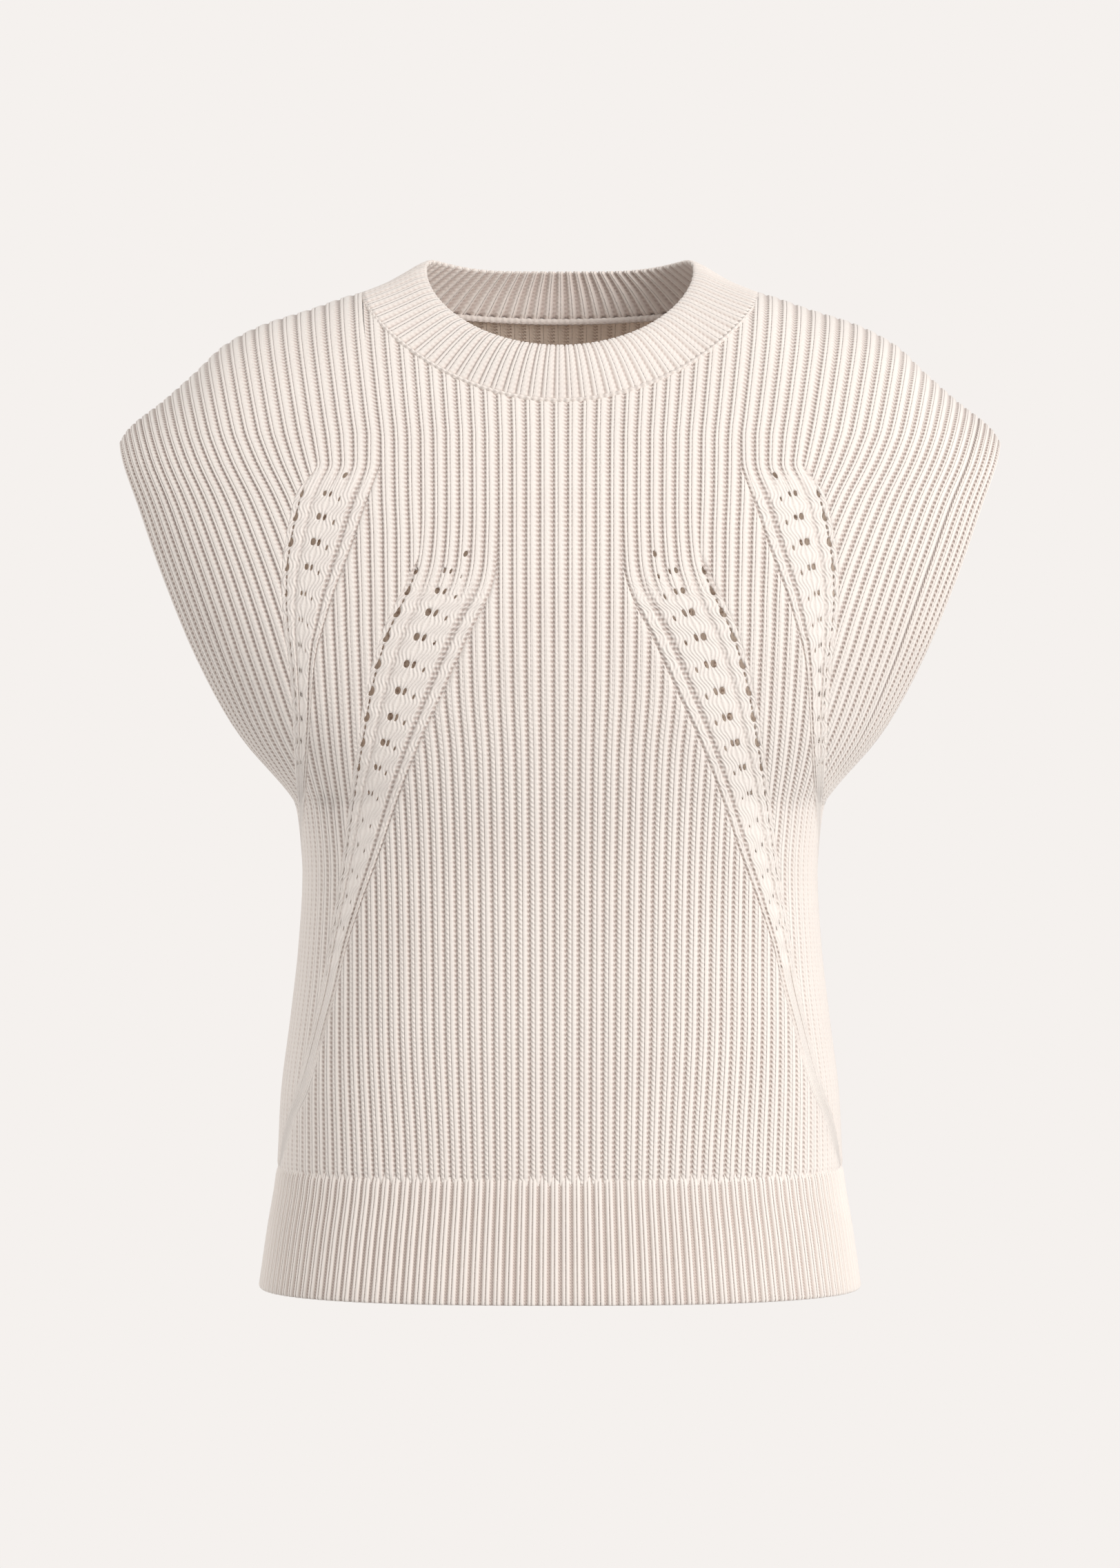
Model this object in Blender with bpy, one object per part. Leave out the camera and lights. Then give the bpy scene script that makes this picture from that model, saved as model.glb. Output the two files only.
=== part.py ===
"""Short-sleeve sweater in chunky rib knit, with four lace darts on its front, filled out as if worn.

Five knitted pieces: front panel and back panel, each with its half of the two cap sleeves, a neck band
and two hem bands. Each is one closed wall: its ribs are raised in the outer points, its inside is plain,
and the large eyelets of the lace darts are cut through. The front faces -Y. Tables are in millimetres,
with heights above the hem; the origin is on the shoulder line, midway between the two sides of the neck.
"""

import math
from functools import partial

import bpy
import numpy as np
from mathutils import Vector
from mathutils.geometry import delaunay_2d_cdt

# ---------------------------------------------------------------- sizes, in millimetres

MM = 0.001
ORIGIN_HEIGHT = 523.3  # the shoulder line at the neck, above the hem
TIP_HEIGHT = 444.5  # where the shoulder line meets the sleeve's free edge
ARMPIT_HEIGHT = 253.5
HEM_BAND_HEIGHT = 63.0
SEAM_GAP = 0.3
RIB_RISE = 1.5  # from the bottom of a furrow to the top of its ribs
PLAIN_WALL = 1.7  # from the inside to the bottom of a furrow
OVAL_POWER = 2.5  # body sections are ovals, a little squarer than ellipses
OVAL_ASPECT = 0.8  # their usual depth over their width

# Sections of the body. half_width is the outline seen from the front: the side up to the armpit, the
# sleeve's free edge above it. oval_width is the half width of the whole oval that the section is part of.
BODY_COLUMNS = {"half_width": 1, "oval_width": 2, "front_depth": 3, "back_depth": 4}
BODY = np.array([
    # height, half_width, oval_width, front_depth, back_depth
    (0, 158.5, 158.5, 126, 118),
    (30, 154.2, 154.2, 122, 113),
    (63, 149.1, 149.1, 118, 108),
    (100, 147.2, 147.2, 114, 104),
    (140, 142.3, 142.3, 110, 101),
    (180, 137.8, 137.8, 107, 99),
    (215, 135.8, 135.8, 106, 99),
    (240, 137.3, 137.3, 108, 100),
    (253.5, 139.4, 139.4, 110, 101),
    (262, 145.0, 145.2, 111.5, 102),
    (270, 151.8, 152.4, 112.5, 102.5),
    (285, 164.4, 166.8, 114.5, 104),
    (300, 174.2, 179.0, 116, 105),
    (330, 189.3, 199.2, 117, 107),
    (350, 197.7, 210.8, 116, 108),
    (380, 209.2, 225.3, 111, 107),
    (410, 219.7, 235.6, 103, 105),
    (430, 227.3, 241.8, 94, 102),
    (444.5, 231.8, 245.5, 87, 99),
    (470, 240.0, 254.0, 76, 94),
    (500, 248.0, 262.0, 70, 88),
    (545, 256.0, 270.0, 68, 84),
], float)

# The shoulder line: its height at each distance from the centre, and over what drop the cloth rounds
# from there into the front and the back.
SHOULDER_COLUMNS = {"height": 1, "front_round": 2, "back_round": 3}
SHOULDER = np.array([
    # distance, height, front_round, back_round
    (0, 533, 120, 80),
    (60, 530, 105, 78),
    (104, 523.3, 82, 76),
    (132, 514.2, 72, 70),
    (157, 506.0, 64, 63),
    (177, 495.2, 56, 56),
    (192, 481.1, 50, 50),
    (208.7, 466.3, 43, 43),
    (226.9, 451.6, 34, 34),
    (231.8, 444.5, 32, 32),
    (240, 430, 30, 30),
    (262, 400, 30, 30),
], float)

# Ribs. A rib's number counts from the centre front or back; the ridge of rib n lies at n, and the
# furrows lie half way between.
EDGE_RIB = 38.0  # ribs from the centre to the sleeve's edge
SIDE_RIB = 30.8  # ribs of the region between the darts, from the centre to the side
HEM_RIBS = 40  # of a hem band, from the centre to the side
NECK_RIBS = 86  # all round
FREE_RIB = 14.0  # up to here the front ribs keep their distance to the centre
CAP_RIB = 24.0  # from here they keep their distance to the sleeve's edge
PITCH_COLUMNS = {"centre": 1, "between": 2}
PITCH = np.array([
    # height, centre pitch, pitch between the darts
    (63, 6.10, 7.15),
    (100, 6.15, 7.05),
    (168, 6.25, 6.62),
    (223, 6.35, 6.52),
    (254, 6.45, 6.63),
    (277, 6.55, 6.62),
    (312, 6.90, 6.65),
    (350, 7.03, 6.72),
    (386, 7.08, 7.08),
    (410, 7.10, 7.10),
    (444.5, 7.18, 7.18),
], float)

# The lace darts, as seen from the front: where the row of large eyelets and the dart's inner side lie.
DART_COLUMNS = {"eyelets": 1, "inner_side": 2}
INNER_DART = np.array([
    # height, eyelets, inner_side
    (63, 148.3, 147.3),
    (76.3, 145.2, 142.5),
    (92.8, 141.0, 136.6),
    (103.6, 137.0, 130.9),
    (123, 131.0, 124.7),
    (140, 126.5, 120.3),
    (160, 121.8, 114.6),
    (180, 118.5, 109.8),
    (205, 113.9, 101.4),
    (229, 110.0, 92.3),
    (256, 106.0, 82.8),
    (284, 101.2, 71.6),
    (311, 96.4, 59.0),
    (338, 88.8, 46.6),
    (363.7, 77.0, 34.3),
    (392, 66.0, 27.0),
], float)
OUTER_DART = np.array([
    # height, eyelets, inner_side
    (254, 136.5, 133.0),
    (275, 135.5, 130.0),
    (298, 135.0, 127.6),
    (320, 136.3, 125.8),
    (334, 137.8, 123.5),
    (347, 139.3, 119.5),
    (360, 140.0, 115.5),
    (374, 139.7, 110.2),
    (387, 138.0, 105.4),
    (400, 135.6, 101.2),
    (412, 133.0, 98.0),
    (430, 128.0, 94.0),
], float)
# What runs along a dart, from its eyelets (0) to its inner side (1): raised ribs, furrows and the lace
# field, how far below the dart's top each starts, and how wide the dart is where each is left out.
DART_LINES = (
    # share, rise, start, least width
    (0.16, 1.00, 9.0, 0.0),
    (0.30, 0.10, 5.0, 0.085),
    (0.46, 0.55, 2.0, 0.085),
    (0.60, 0.45, 5.0, 0.085),
    (0.70, 0.05, 9.0, 0.045),
    (0.79, 0.90, 13.0, 0.085),
    (0.88, 0.05, 18.0, 0.085),
    (1.00, 0.15, 24.0, 0.045),
)
EYELET_STEP = 12.8
EYELET_WIDTH = 4.3
EYELET_HEIGHT = 5.6
EYELET_SIDES = 6
# Each dart: its table, its top and foot, and the height of its first eyelet and how many it has.
DARTS = {
    "inner": {"table": INNER_DART, "top": 388.0, "foot": 66.0, "first": 372.6, "count": 17},
    "outer": {"table": OUTER_DART, "top": 427.0, "foot": 262.0, "first": 412.4, "count": 12},
}

# Neck: the linking seam on the body, and the free edge of the band.
NECK_HALF_WIDTH = 104.0
FRONT_NECK_HEIGHT = 461.5
BACK_NECK_HEIGHT = 515.0
NECK_EDGE_HALF_WIDTH = 71.5
NECK_EDGE_FRONT = 64.0
NECK_EDGE_BACK = 50.0
FRONT_EDGE_HEIGHT = 489.5
SIDE_EDGE_HEIGHT = 538.5
BACK_EDGE_HEIGHT = 540.0
NECK_BULGE = 2.5

# How finely the walls are divided.
ROWS = {
    "front": (105.0, 145.0, 185.0, 222.0, 253.5, 269.0, 287.0, 318.0, 360.0, 400.0, 430.0),
    "back": (110.0, 160.0, 210.0, 253.5, 271.0, 300.0, 348.0, 400.0),
}
CROWN_TURNS = (74, 54, 34)  # degrees round a shoulder, from where the cloth is upright
CROWN_SPARE = 5.0  # least distance from these rows to a line's head
DART_ROW_STEP = 17.0
SEAM_POINT_STEP = 4.5
LEAST_TO_EYELETS = 0.018  # share of the section kept between the eyelets and the rib beside them
ROW_SPARE = 11.0
HEAD_SPARE = 5.0  # from the head of a dart to the ribs above it
INSIDE_STEP = 27.0
RIB_TO_SIDE = 0.010  # share of the section kept between a rib's end and a dart's inner side
RIB_TO_EYELET = 0.021
PLAN_SCALE = 250.0  # plan width of half a panel, where its plan is divided into triangles

CREAM = (0.90, 0.83, 0.74, 1.0)


# ---------------------------------------------------------------- the form of the garment


def smooth(table, column, at):
    """The table's column between its rows, on a curve through them that doesn't overshoot."""
    x = table[:, 0]
    y = table[:, column]
    gap = np.diff(x)
    chord = np.diff(y) / gap
    slope = np.empty_like(y)
    slope[0] = chord[0]
    slope[-1] = chord[-1]
    product = chord[1:] * chord[:-1]
    total = chord[1:] + chord[:-1]
    slope[1:-1] = np.where(product > 0, 2 * product / np.where(total == 0, 1, total), 0)
    at = np.asarray(at, float)
    row = np.clip(np.searchsorted(x, at) - 1, 0, len(x) - 2)
    t = np.clip((at - x[row]) / gap[row], 0, 1)
    ends = (1 + 2 * t) * (1 - t) ** 2 * y[row] + t * t * (3 - 2 * t) * y[row + 1]
    bends = t * (1 - t) ** 2 * slope[row] + t * t * (t - 1) * slope[row + 1]
    return ends + gap[row] * bends


def body(name, height):
    return smooth(BODY, BODY_COLUMNS[name], height)


def shoulder(name, distance):
    return smooth(SHOULDER, SHOULDER_COLUMNS[name], np.abs(distance))


def oval_table():
    """Share of a quarter oval's length against distance from the centre, both from 0 to 1, and that length."""
    turn = np.linspace(0, math.pi / 2, 1500)
    across = np.sin(turn) ** (2 / OVAL_POWER)
    forward = OVAL_ASPECT * np.cos(turn) ** (2 / OVAL_POWER)
    length = np.concatenate([[0], np.cumsum(np.hypot(np.diff(across), np.diff(forward)))])
    return length / length[-1], across, length[-1]


OVAL_SHARE, OVAL_ACROSS, OVAL_LENGTH = oval_table()


def edge_share(height):
    """How much of the quarter oval the cloth covers, up to the side or the sleeve's edge."""
    return np.interp(body("half_width", height) / body("oval_width", height), OVAL_ACROSS, OVAL_SHARE)


def edge_length(height):
    """Length of cloth from the centre to the side or the sleeve's edge."""
    return body("oval_width", height) * OVAL_LENGTH * edge_share(height)


def distance_of(across, height):
    """Distance from the centre plane of a point at `across`, from -1 to 1 round the section."""
    share = np.abs(across) * edge_share(height)
    return np.sign(across) * body("oval_width", height) * np.interp(share, OVAL_SHARE, OVAL_ACROSS)


def across_of(distance, height):
    """The reverse of distance_of."""
    share = np.interp(np.abs(distance) / body("oval_width", height), OVAL_ACROSS, OVAL_SHARE)
    return np.sign(distance) * share / edge_share(height)


def squared_depth(distance, height, side):
    """Square of depth over full depth: the oval round the body times the rounding below the shoulder."""
    oval = 1 - (np.abs(distance) / body("oval_width", height)) ** OVAL_POWER
    oval = np.sign(oval) * np.abs(oval) ** (2 / OVAL_POWER)
    drop = (shoulder("height", distance) - height) / shoulder(side + "_round", distance)
    return oval * (1 - (1 - np.minimum(drop, 1)) ** 2)


def depth_of(distance, height, side):
    """Depth in front of or behind the side plane, as a positive number."""
    return body(side + "_depth", height) * np.sqrt(np.maximum(squared_depth(distance, height, side), 0))


def outward(distance, height, side):
    """Unit direction out of the cloth: level round the body, and turning upwards over the shoulders."""
    step = 0.05
    inside = np.minimum(np.abs(distance), body("oval_width", height) - 2 * step)
    inside = np.sign(distance) * inside
    low = np.minimum(height, shoulder("height", inside) - 2 * step)
    full = body(side + "_depth", low)
    depth = depth_of(inside, low, side)
    slope_x = squared_depth(inside + step, low, side) - squared_depth(inside - step, low, side)
    slope_z = squared_depth(inside, low + step, side) - squared_depth(inside, low - step, side)
    rise = np.clip((height - 300) / 90, 0, 1)
    rise = rise * rise * (3 - 2 * rise)
    facing = -1 if side == "front" else 1
    normal = np.stack([
        -slope_x / (2 * step),
        facing * 2 * depth / full**2,
        -slope_z / (2 * step) * rise,
    ], axis=-1)
    return normal / np.linalg.norm(normal, axis=-1, keepdims=True)


def body_points(across, height, side, below):
    """Points of a panel, `below` millimetres under its outermost surface."""
    across = np.asarray(across, float)
    height = np.asarray(height, float)
    distance = distance_of(across, height)
    facing = -1 if side == "front" else 1
    depth = np.maximum(depth_of(distance, height, side), SEAM_GAP / 2)
    surface = np.stack([distance, facing * depth, height], axis=-1)
    points = surface - outward(distance, height, side) * np.asarray(below, float)[..., None]
    points[..., 1] = facing * np.maximum(facing * points[..., 1], SEAM_GAP / 2)
    return points


def neckline_height(distance, side):
    """Height of the linking seam round the neck, on the body."""
    share = np.minimum(np.abs(distance) / NECK_HALF_WIDTH, 1)
    end = float(shoulder("height", NECK_HALF_WIDTH))
    if side == "back":
        return BACK_NECK_HEIGHT + (end - BACK_NECK_HEIGHT) * share**2
    scoop = 0.5 * (1 - np.sqrt(1 - share**2)) + 0.5 * share**2
    return FRONT_NECK_HEIGHT + (end - FRONT_NECK_HEIGHT) * scoop


def top_height(across, side):
    """Height of a panel's upper border: the neck seam, and from its ends the shoulder line."""
    height = np.full(np.shape(across), 500.0)
    for _ in range(40):
        distance = distance_of(across, height)
        border = np.where(
            np.abs(distance) < NECK_HALF_WIDTH,
            neckline_height(distance, side),
            shoulder("height", distance),
        )
        height = 0.5 * height + 0.5 * border
    return height


# ---------------------------------------------------------------- where the ribs and darts run


def pitch(name, height):
    return smooth(PITCH, PITCH_COLUMNS[name], height)


def even_rib(number, height, name):
    """A rib that keeps its distance to the centre front by a pitch of its own."""
    return number * pitch(name, height) / edge_length(height)


def centre_rib(number, height):
    """A rib of the middle of the front, over the shoulder or down between the two inner darts."""
    return np.where(height > TIP_HEIGHT, number / EDGE_RIB, even_rib(number, height, "centre"))


def between_rib(number, height):
    """A rib of the region between an inner and an outer dart, which goes on down the side."""
    return np.where(height > TIP_HEIGHT, number / EDGE_RIB, even_rib(number, height, "between"))


def cap_rib(number, height):
    """A rib of the sleeve's cap, which turns from upright to parallel with the sleeve's edge."""
    length = edge_length(height)
    beside_edge = 1 - (EDGE_RIB - number) * float(pitch("centre", TIP_HEIGHT)) / length
    blend = min(max((number - FREE_RIB) / (CAP_RIB - FREE_RIB), 0), 1)
    blend = blend * blend * (3 - 2 * blend)
    below_tip = (1 - blend) * even_rib(number, height, "centre") + blend * beside_edge
    return np.where(height > TIP_HEIGHT, number / EDGE_RIB, below_tip)


def dart_side(dart, name, height):
    """Place across the panel of a dart's eyelets or inner side."""
    distance = smooth(dart["table"], DART_COLUMNS[name], height)
    return across_of(distance, height)


def dart_width(dart, height):
    return dart_side(dart, "eyelets", height) - dart_side(dart, "inner_side", height)


def dart_line(dart, share, height):
    """A line along a dart, clear of its eyelets where the dart is narrow."""
    gap = np.maximum(share * dart_width(dart, height), LEAST_TO_EYELETS)
    return dart_side(dart, "eyelets", height) - gap


def dart_share(dart, across, height):
    """How far across a dart a point lies, from 0 at its eyelets to 1 at its inner side."""
    eyelets = dart_side(dart, "eyelets", height)
    return (eyelets - across) / (eyelets - dart_side(dart, "inner_side", height))


def dart_head(dart, share):
    """Height at which a dart begins, at a share across it."""
    shares = [0.0] + [row[0] for row in DART_LINES]
    starts = [dart["top"] - dart["first"]] + [row[2] for row in DART_LINES]
    return dart["top"] - np.interp(share, shares, starts) + HEAD_SPARE


def zone_of(across, height):
    """Names the part of the front where a point lies: centre, between, cap, top or dart."""
    zones = np.full(np.shape(height), "top", dtype="U8")
    inner = dart_share(DARTS["inner"], across, height)
    outer = dart_share(DARTS["outer"], across, height)
    beside = height < DARTS["outer"]["foot"]
    zones[(inner > 1) & (height < dart_head(DARTS["inner"], 1))] = "centre"
    zones[(inner < 0) & (beside | (outer > 1)) & (height < dart_head(DARTS["outer"], 1))] = "between"
    zones[(outer < 0) & ~beside & (height < dart_head(DARTS["outer"], 0))] = "cap"
    zones[(inner >= 0) & (inner <= 1) & (height < dart_head(DARTS["inner"], inner))] = "dart"
    zones[(outer >= 0) & (outer <= 1) & ~beside & (height < dart_head(DARTS["outer"], outer))] = "dart"
    return zones


def levels_between(low, high, spare, side):
    """Heights of the rows of points, kept `spare` away from a line's two ends."""
    return [z for z in ROWS[side] if low + spare < z < high - spare]


def crown_rows(place, top, side):
    """Heights of the rows that round the shoulder on a line whose head is at `top`."""
    distance = float(distance_of(place, top))
    line = float(shoulder("height", distance))
    drop = float(shoulder(side + "_round", distance))
    return [line - drop * (1 - math.cos(math.radians(turn))) for turn in CROWN_TURNS]


def run_heights(low, high, crown, side):
    """Heights of a line's points from its foot to its head, closer together where it rounds a shoulder."""
    rounding = [z for z in crown if low + ROW_SPARE < z < high - CROWN_SPARE]
    below = min(rounding + [high])
    return [low] + levels_between(low, below, ROW_SPARE, side) + rounding + [high]


def zone_runs(rib, allowed, top):
    """The stretches of a rib that lie in the allowed zones, as (low, high) pairs."""
    heights = np.arange(HEM_BAND_HEIGHT, top, 1.0)
    places = rib(heights)
    inside = np.isin(zone_of(places, heights), allowed) & (places < 0.985)
    for clearance in (RIB_TO_SIDE, -RIB_TO_EYELET):
        inside &= np.isin(zone_of(places + clearance, heights), allowed)
    runs = []
    start = None
    for z, is_in in zip(heights, inside, strict=True):
        if is_in and start is None:
            start = z
        if not is_in and start is not None:
            runs.append((float(start), float(z) - 1))
            start = None
    if start is not None:
        runs.append((float(start), float(top)))
    return [(low, high) for low, high in runs if high - low > 14]


# ---------------------------------------------------------------- plans of the panels


class Plan:
    """Points of a panel's outer side, as (across, height, rise), with the lines that its triangles keep."""

    def __init__(self):
        self.points = []
        self.lines = []
        self.holes = []

    def point(self, across, height, rise):
        self.points.append((float(across), float(height), float(rise)))
        return len(self.points) - 1

    def line(self, places, heights, rises):
        ids = [self.point(a, z, r) for a, z, r in zip(places, heights, rises, strict=True)]
        self.lines.append(ids)
        return ids


def rib_numbers(last):
    """Ridges and furrows from the centre outwards, as (number, rise)."""
    return [(half / 2, 1.0 if half % 2 == 0 else 0.0) for half in range(int(last * 2) + 1)]


def back_plan():
    """Ribs run unbroken from hem to shoulder, closer together at the waist."""
    plan = Plan()
    feet = []
    heads = []
    for number, rise in rib_numbers(EDGE_RIB - 0.5):
        for mirror in (1, -1) if number else (1,):
            place = mirror * number / EDGE_RIB
            top = float(top_height(place, "back"))
            crown = crown_rows(place, top, "back")
            heights = run_heights(HEM_BAND_HEIGHT + SEAM_GAP / 2, top, crown, "back")
            ids = plan.line([place] * len(heights), heights, [rise] * len(heights))
            feet.append((place, ids[0]))
            heads.append((place, ids[-1]))
    return plan, sorted(feet), sorted(heads)


def front_plan():
    """Ribs end at the eyelets of each dart, and new ones start at its inner side."""
    plan = Plan()
    feet = []
    heads = []
    families = (
        # rib rule, first and last number, zones
        (centre_rib, 0.0, 4.5, ("top", "centre")),
        (centre_rib, 5.0, 10.5, ("top",)),
        (centre_rib, 5.0, 34.0, ("centre",)),
        (between_rib, 11.0, 13.5, ("top", "between")),
        (between_rib, 14.0, SIDE_RIB - 0.5, ("between",)),
        (cap_rib, 14.0, EDGE_RIB - 0.5, ("top", "cap")),
    )
    foot = HEM_BAND_HEIGHT + SEAM_GAP / 2
    for rule, first, last, zones in families:
        for number, rise in rib_numbers(last):
            if number < first:
                continue
            place_at = partial(rule, number)
            top = float(top_height(number / EDGE_RIB, "front")) if "top" in zones else TIP_HEIGHT - 20
            for low, high in zone_runs(place_at, zones, top):
                at_foot = low < foot + 1
                low = foot if at_foot else low
                crown = crown_rows(number / EDGE_RIB, top, "front") if high == top else []
                heights = run_heights(low, high, crown, "front")
                places = [float(place_at(np.array(z))) for z in heights]
                rises = [rise] * len(heights)
                if not at_foot:
                    rises[0] = 0.3
                if high < top:
                    rises[-1] = 0.3
                for mirror in (1, -1) if number else (1,):
                    ids = plan.line([mirror * a for a in places], heights, rises)
                    if at_foot:
                        feet.append((mirror * places[0], ids[0]))
                    if high == top and "top" in zones:
                        heads.append((mirror * places[-1], ids[-1]))
    for dart in DARTS.values():
        add_dart(plan, dart)
    return plan, sorted(feet), sorted(heads)


def add_dart(plan, dart):
    """The raised ribs and furrows along a dart, and its large eyelets."""
    for share, rise, start, least in DART_LINES:
        high = dart["top"] - start
        heights = np.linspace(dart["foot"] + 6, high, round((high - dart["foot"]) / DART_ROW_STEP))
        places = dart_line(dart, share, heights)
        keep = (dart_width(dart, heights) > least) & (places < 0.975)
        if keep.sum() < 2:
            continue
        for mirror in (1, -1):
            plan.line(mirror * places[keep], heights[keep], np.full(keep.sum(), rise))
    for step in range(dart["count"]):
        height = dart["first"] - step * EYELET_STEP
        place = float(dart_side(dart, "eyelets", height))
        length = float(edge_length(height))
        for mirror in (1, -1):
            ring = []
            for corner in range(EYELET_SIDES):
                turn = 2 * math.pi * corner / EYELET_SIDES
                ring.append(plan.point(
                    mirror * (place + 0.5 * EYELET_WIDTH * math.cos(turn) / length),
                    height + 0.5 * EYELET_HEIGHT * math.sin(turn),
                    0.15,
                ))
            plan.holes.append(ring)


def border_of(plan, feet, heads, side):
    """The panel's outline as a ring of point numbers, with the ones that the plain inside shares."""
    rows = levels_between(HEM_BAND_HEIGHT, TIP_HEIGHT, ROW_SPARE, side)
    edge_rows = [HEM_BAND_HEIGHT + SEAM_GAP / 2] + rows + [TIP_HEIGHT]
    free = [z for z in edge_rows if z >= ARMPIT_HEIGHT]
    edge_rows = sorted(edge_rows + [(a + b) / 2 for a, b in zip(free[:-1], free[1:], strict=True)])
    right =[plan.point(1.0, z, 0.3) for z in edge_rows]
    left = [plan.point(-1.0, z, 0.3) for z in reversed(edge_rows)]
    foot_ids = [i for _, i in feet]
    head_ids = with_neck_ends(plan, heads, side)
    ring = foot_ids + right + head_ids[::-1] + left
    shared = foot_ids[::4] + right + inside_heads(plan, head_ids)[::-1] + left
    return ring, shared


def with_neck_ends(plan, heads, side):
    """Puts a point where the neck seam meets the shoulder line, and more along the seam where it is steep."""
    end = float(shoulder("height", NECK_HALF_WIDTH))
    place = float(across_of(NECK_HALF_WIDTH, end))
    for corner in (place, -place):
        gap, nearest = min((abs(a - corner), i) for a, i in heads)
        if gap > 0.008:
            heads = heads + [(corner, plan.point(corner, end, 0.4))]
        else:
            plan.points[nearest] = (corner, end, plan.points[nearest][2])
            heads = [(corner if i == nearest else a, i) for a, i in heads]
    ids = [i for _, i in sorted(heads)]
    filled = ids[:1]
    for before, after in zip(ids[:-1], ids[1:], strict=True):
        filled += seam_points(plan, before, after, side) + [after]
    return filled


def seam_points(plan, before, after, side):
    """New points of the neck seam between two points of it that lie too far apart."""
    ends = []
    for i in (before, after):
        across, height, _ = plan.points[i]
        distance = float(distance_of(across, height))
        if abs(distance) > NECK_HALF_WIDTH + 0.01:
            return []
        ends.append((math.asin(max(-1, min(1, distance / NECK_HALF_WIDTH))), distance, height))
    depths = [float(depth_of(distance, height, side)) for _, distance, height in ends]
    reach = math.dist((*ends[0][1:], depths[0]), (*ends[1][1:], depths[1]))
    count = int(reach / SEAM_POINT_STEP)
    made = []
    for step in range(1, count + 1):
        turn = ends[0][0] + (ends[1][0] - ends[0][0]) * step / (count + 1)
        distance = NECK_HALF_WIDTH * math.sin(turn)
        height = float(neckline_height(distance, side))
        made.append(plan.point(across_of(distance, height), height, 0.4))
    return made


def inside_heads(plan, head_ids):
    """Every second point along the neck seam, and every fourth along the shoulders, with all their ends."""
    kept = []
    for order, i in enumerate(head_ids):
        distance = abs(float(distance_of(plan.points[i][0], plan.points[i][1])))
        at_corner = abs(distance - NECK_HALF_WIDTH) < 0.1
        step = 2 if distance < NECK_HALF_WIDTH else 4
        if at_corner or order % step == 0:
            kept.append(i)
    return kept


# ---------------------------------------------------------------- walls


def inside_ring(points, ring):
    """Which plan points lie inside a closed ring of plan points, by counting crossings."""
    x = points[:, 0][:, None]
    y = points[:, 1][:, None]
    ring = np.asarray(ring)
    x0, y0 = ring[:, 0][None], ring[:, 1][None]
    x1, y1 = np.roll(ring[:, 0], -1)[None], np.roll(ring[:, 1], -1)[None]
    crosses = (y0 > y) != (y1 > y)
    rise = np.where(y1 == y0, 1, y1 - y0)
    reach = x0 + (y - y0) / rise * (x1 - x0)
    return (crosses & (x < reach)).sum(axis=1) % 2 == 1


def triangles_of(plan_points, lines, ring, holes):
    """Triangles that keep the given lines, inside the ring and outside the holes."""
    edges = [(a, b) for line in lines for a, b in zip(line[:-1], line[1:], strict=True)]
    for loop in [ring] + holes:
        edges += list(zip(loop, loop[1:] + loop[:1], strict=True))
    coords = [Vector((p[0], p[1])) for p in plan_points]
    made, _, faces, origins, _, _ = delaunay_2d_cdt(coords, edges, [], 0, 1e-4, True)
    if len(made) != len(coords):
        raise ValueError("two lines of the plan cross")
    back = [origin[0] for origin in origins]
    faces = np.array([[back[i] for i in face] for face in faces])
    plan_points = np.asarray(plan_points)
    centres = plan_points[faces].mean(axis=1)
    keep = inside_ring(centres, plan_points[ring])
    for hole in holes:
        keep &= ~inside_ring(centres, plan_points[hole])
    return faces[keep]


def inside_points(ring, holes, plan_points):
    """An even grid of points for the plain inside, clear of its border and of the eyelets."""
    across = np.arange(-PLAN_SCALE, PLAN_SCALE, INSIDE_STEP) + 0.37 * INSIDE_STEP
    up = np.arange(HEM_BAND_HEIGHT, ORIGIN_HEIGHT, INSIDE_STEP) + 0.5 * INSIDE_STEP
    grid = np.array([(x, y) for x in across for y in up])
    grid = grid[inside_ring(grid, plan_points[ring])]
    taken = plan_points[ring + [i for hole in holes for i in hole]]
    gap = np.linalg.norm(grid[:, None] - taken[None], axis=2).min(axis=1)
    return grid[gap > 0.38 * INSIDE_STEP]


def wall_between(outer_ring, inner_ring):
    """Triangles from an outer ring to an inner ring whose points sit behind some of the outer ones."""
    faces = []
    places = {outer: order for order, outer in enumerate(outer_ring)}
    stops = [places[outer] for outer, _ in inner_ring]
    count = len(outer_ring)
    for order, (start, (_, inner)) in enumerate(zip(stops, inner_ring, strict=True)):
        following = (order + 1) % len(inner_ring)
        end = stops[following]
        next_inner = inner_ring[following][1]
        span = (end - start) % count
        for step in range(span):
            a = outer_ring[(start + step) % count]
            b = outer_ring[(start + step + 1) % count]
            faces.append((a, inner, b))
        faces.append((outer_ring[end], inner, next_inner))
    return faces


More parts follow.
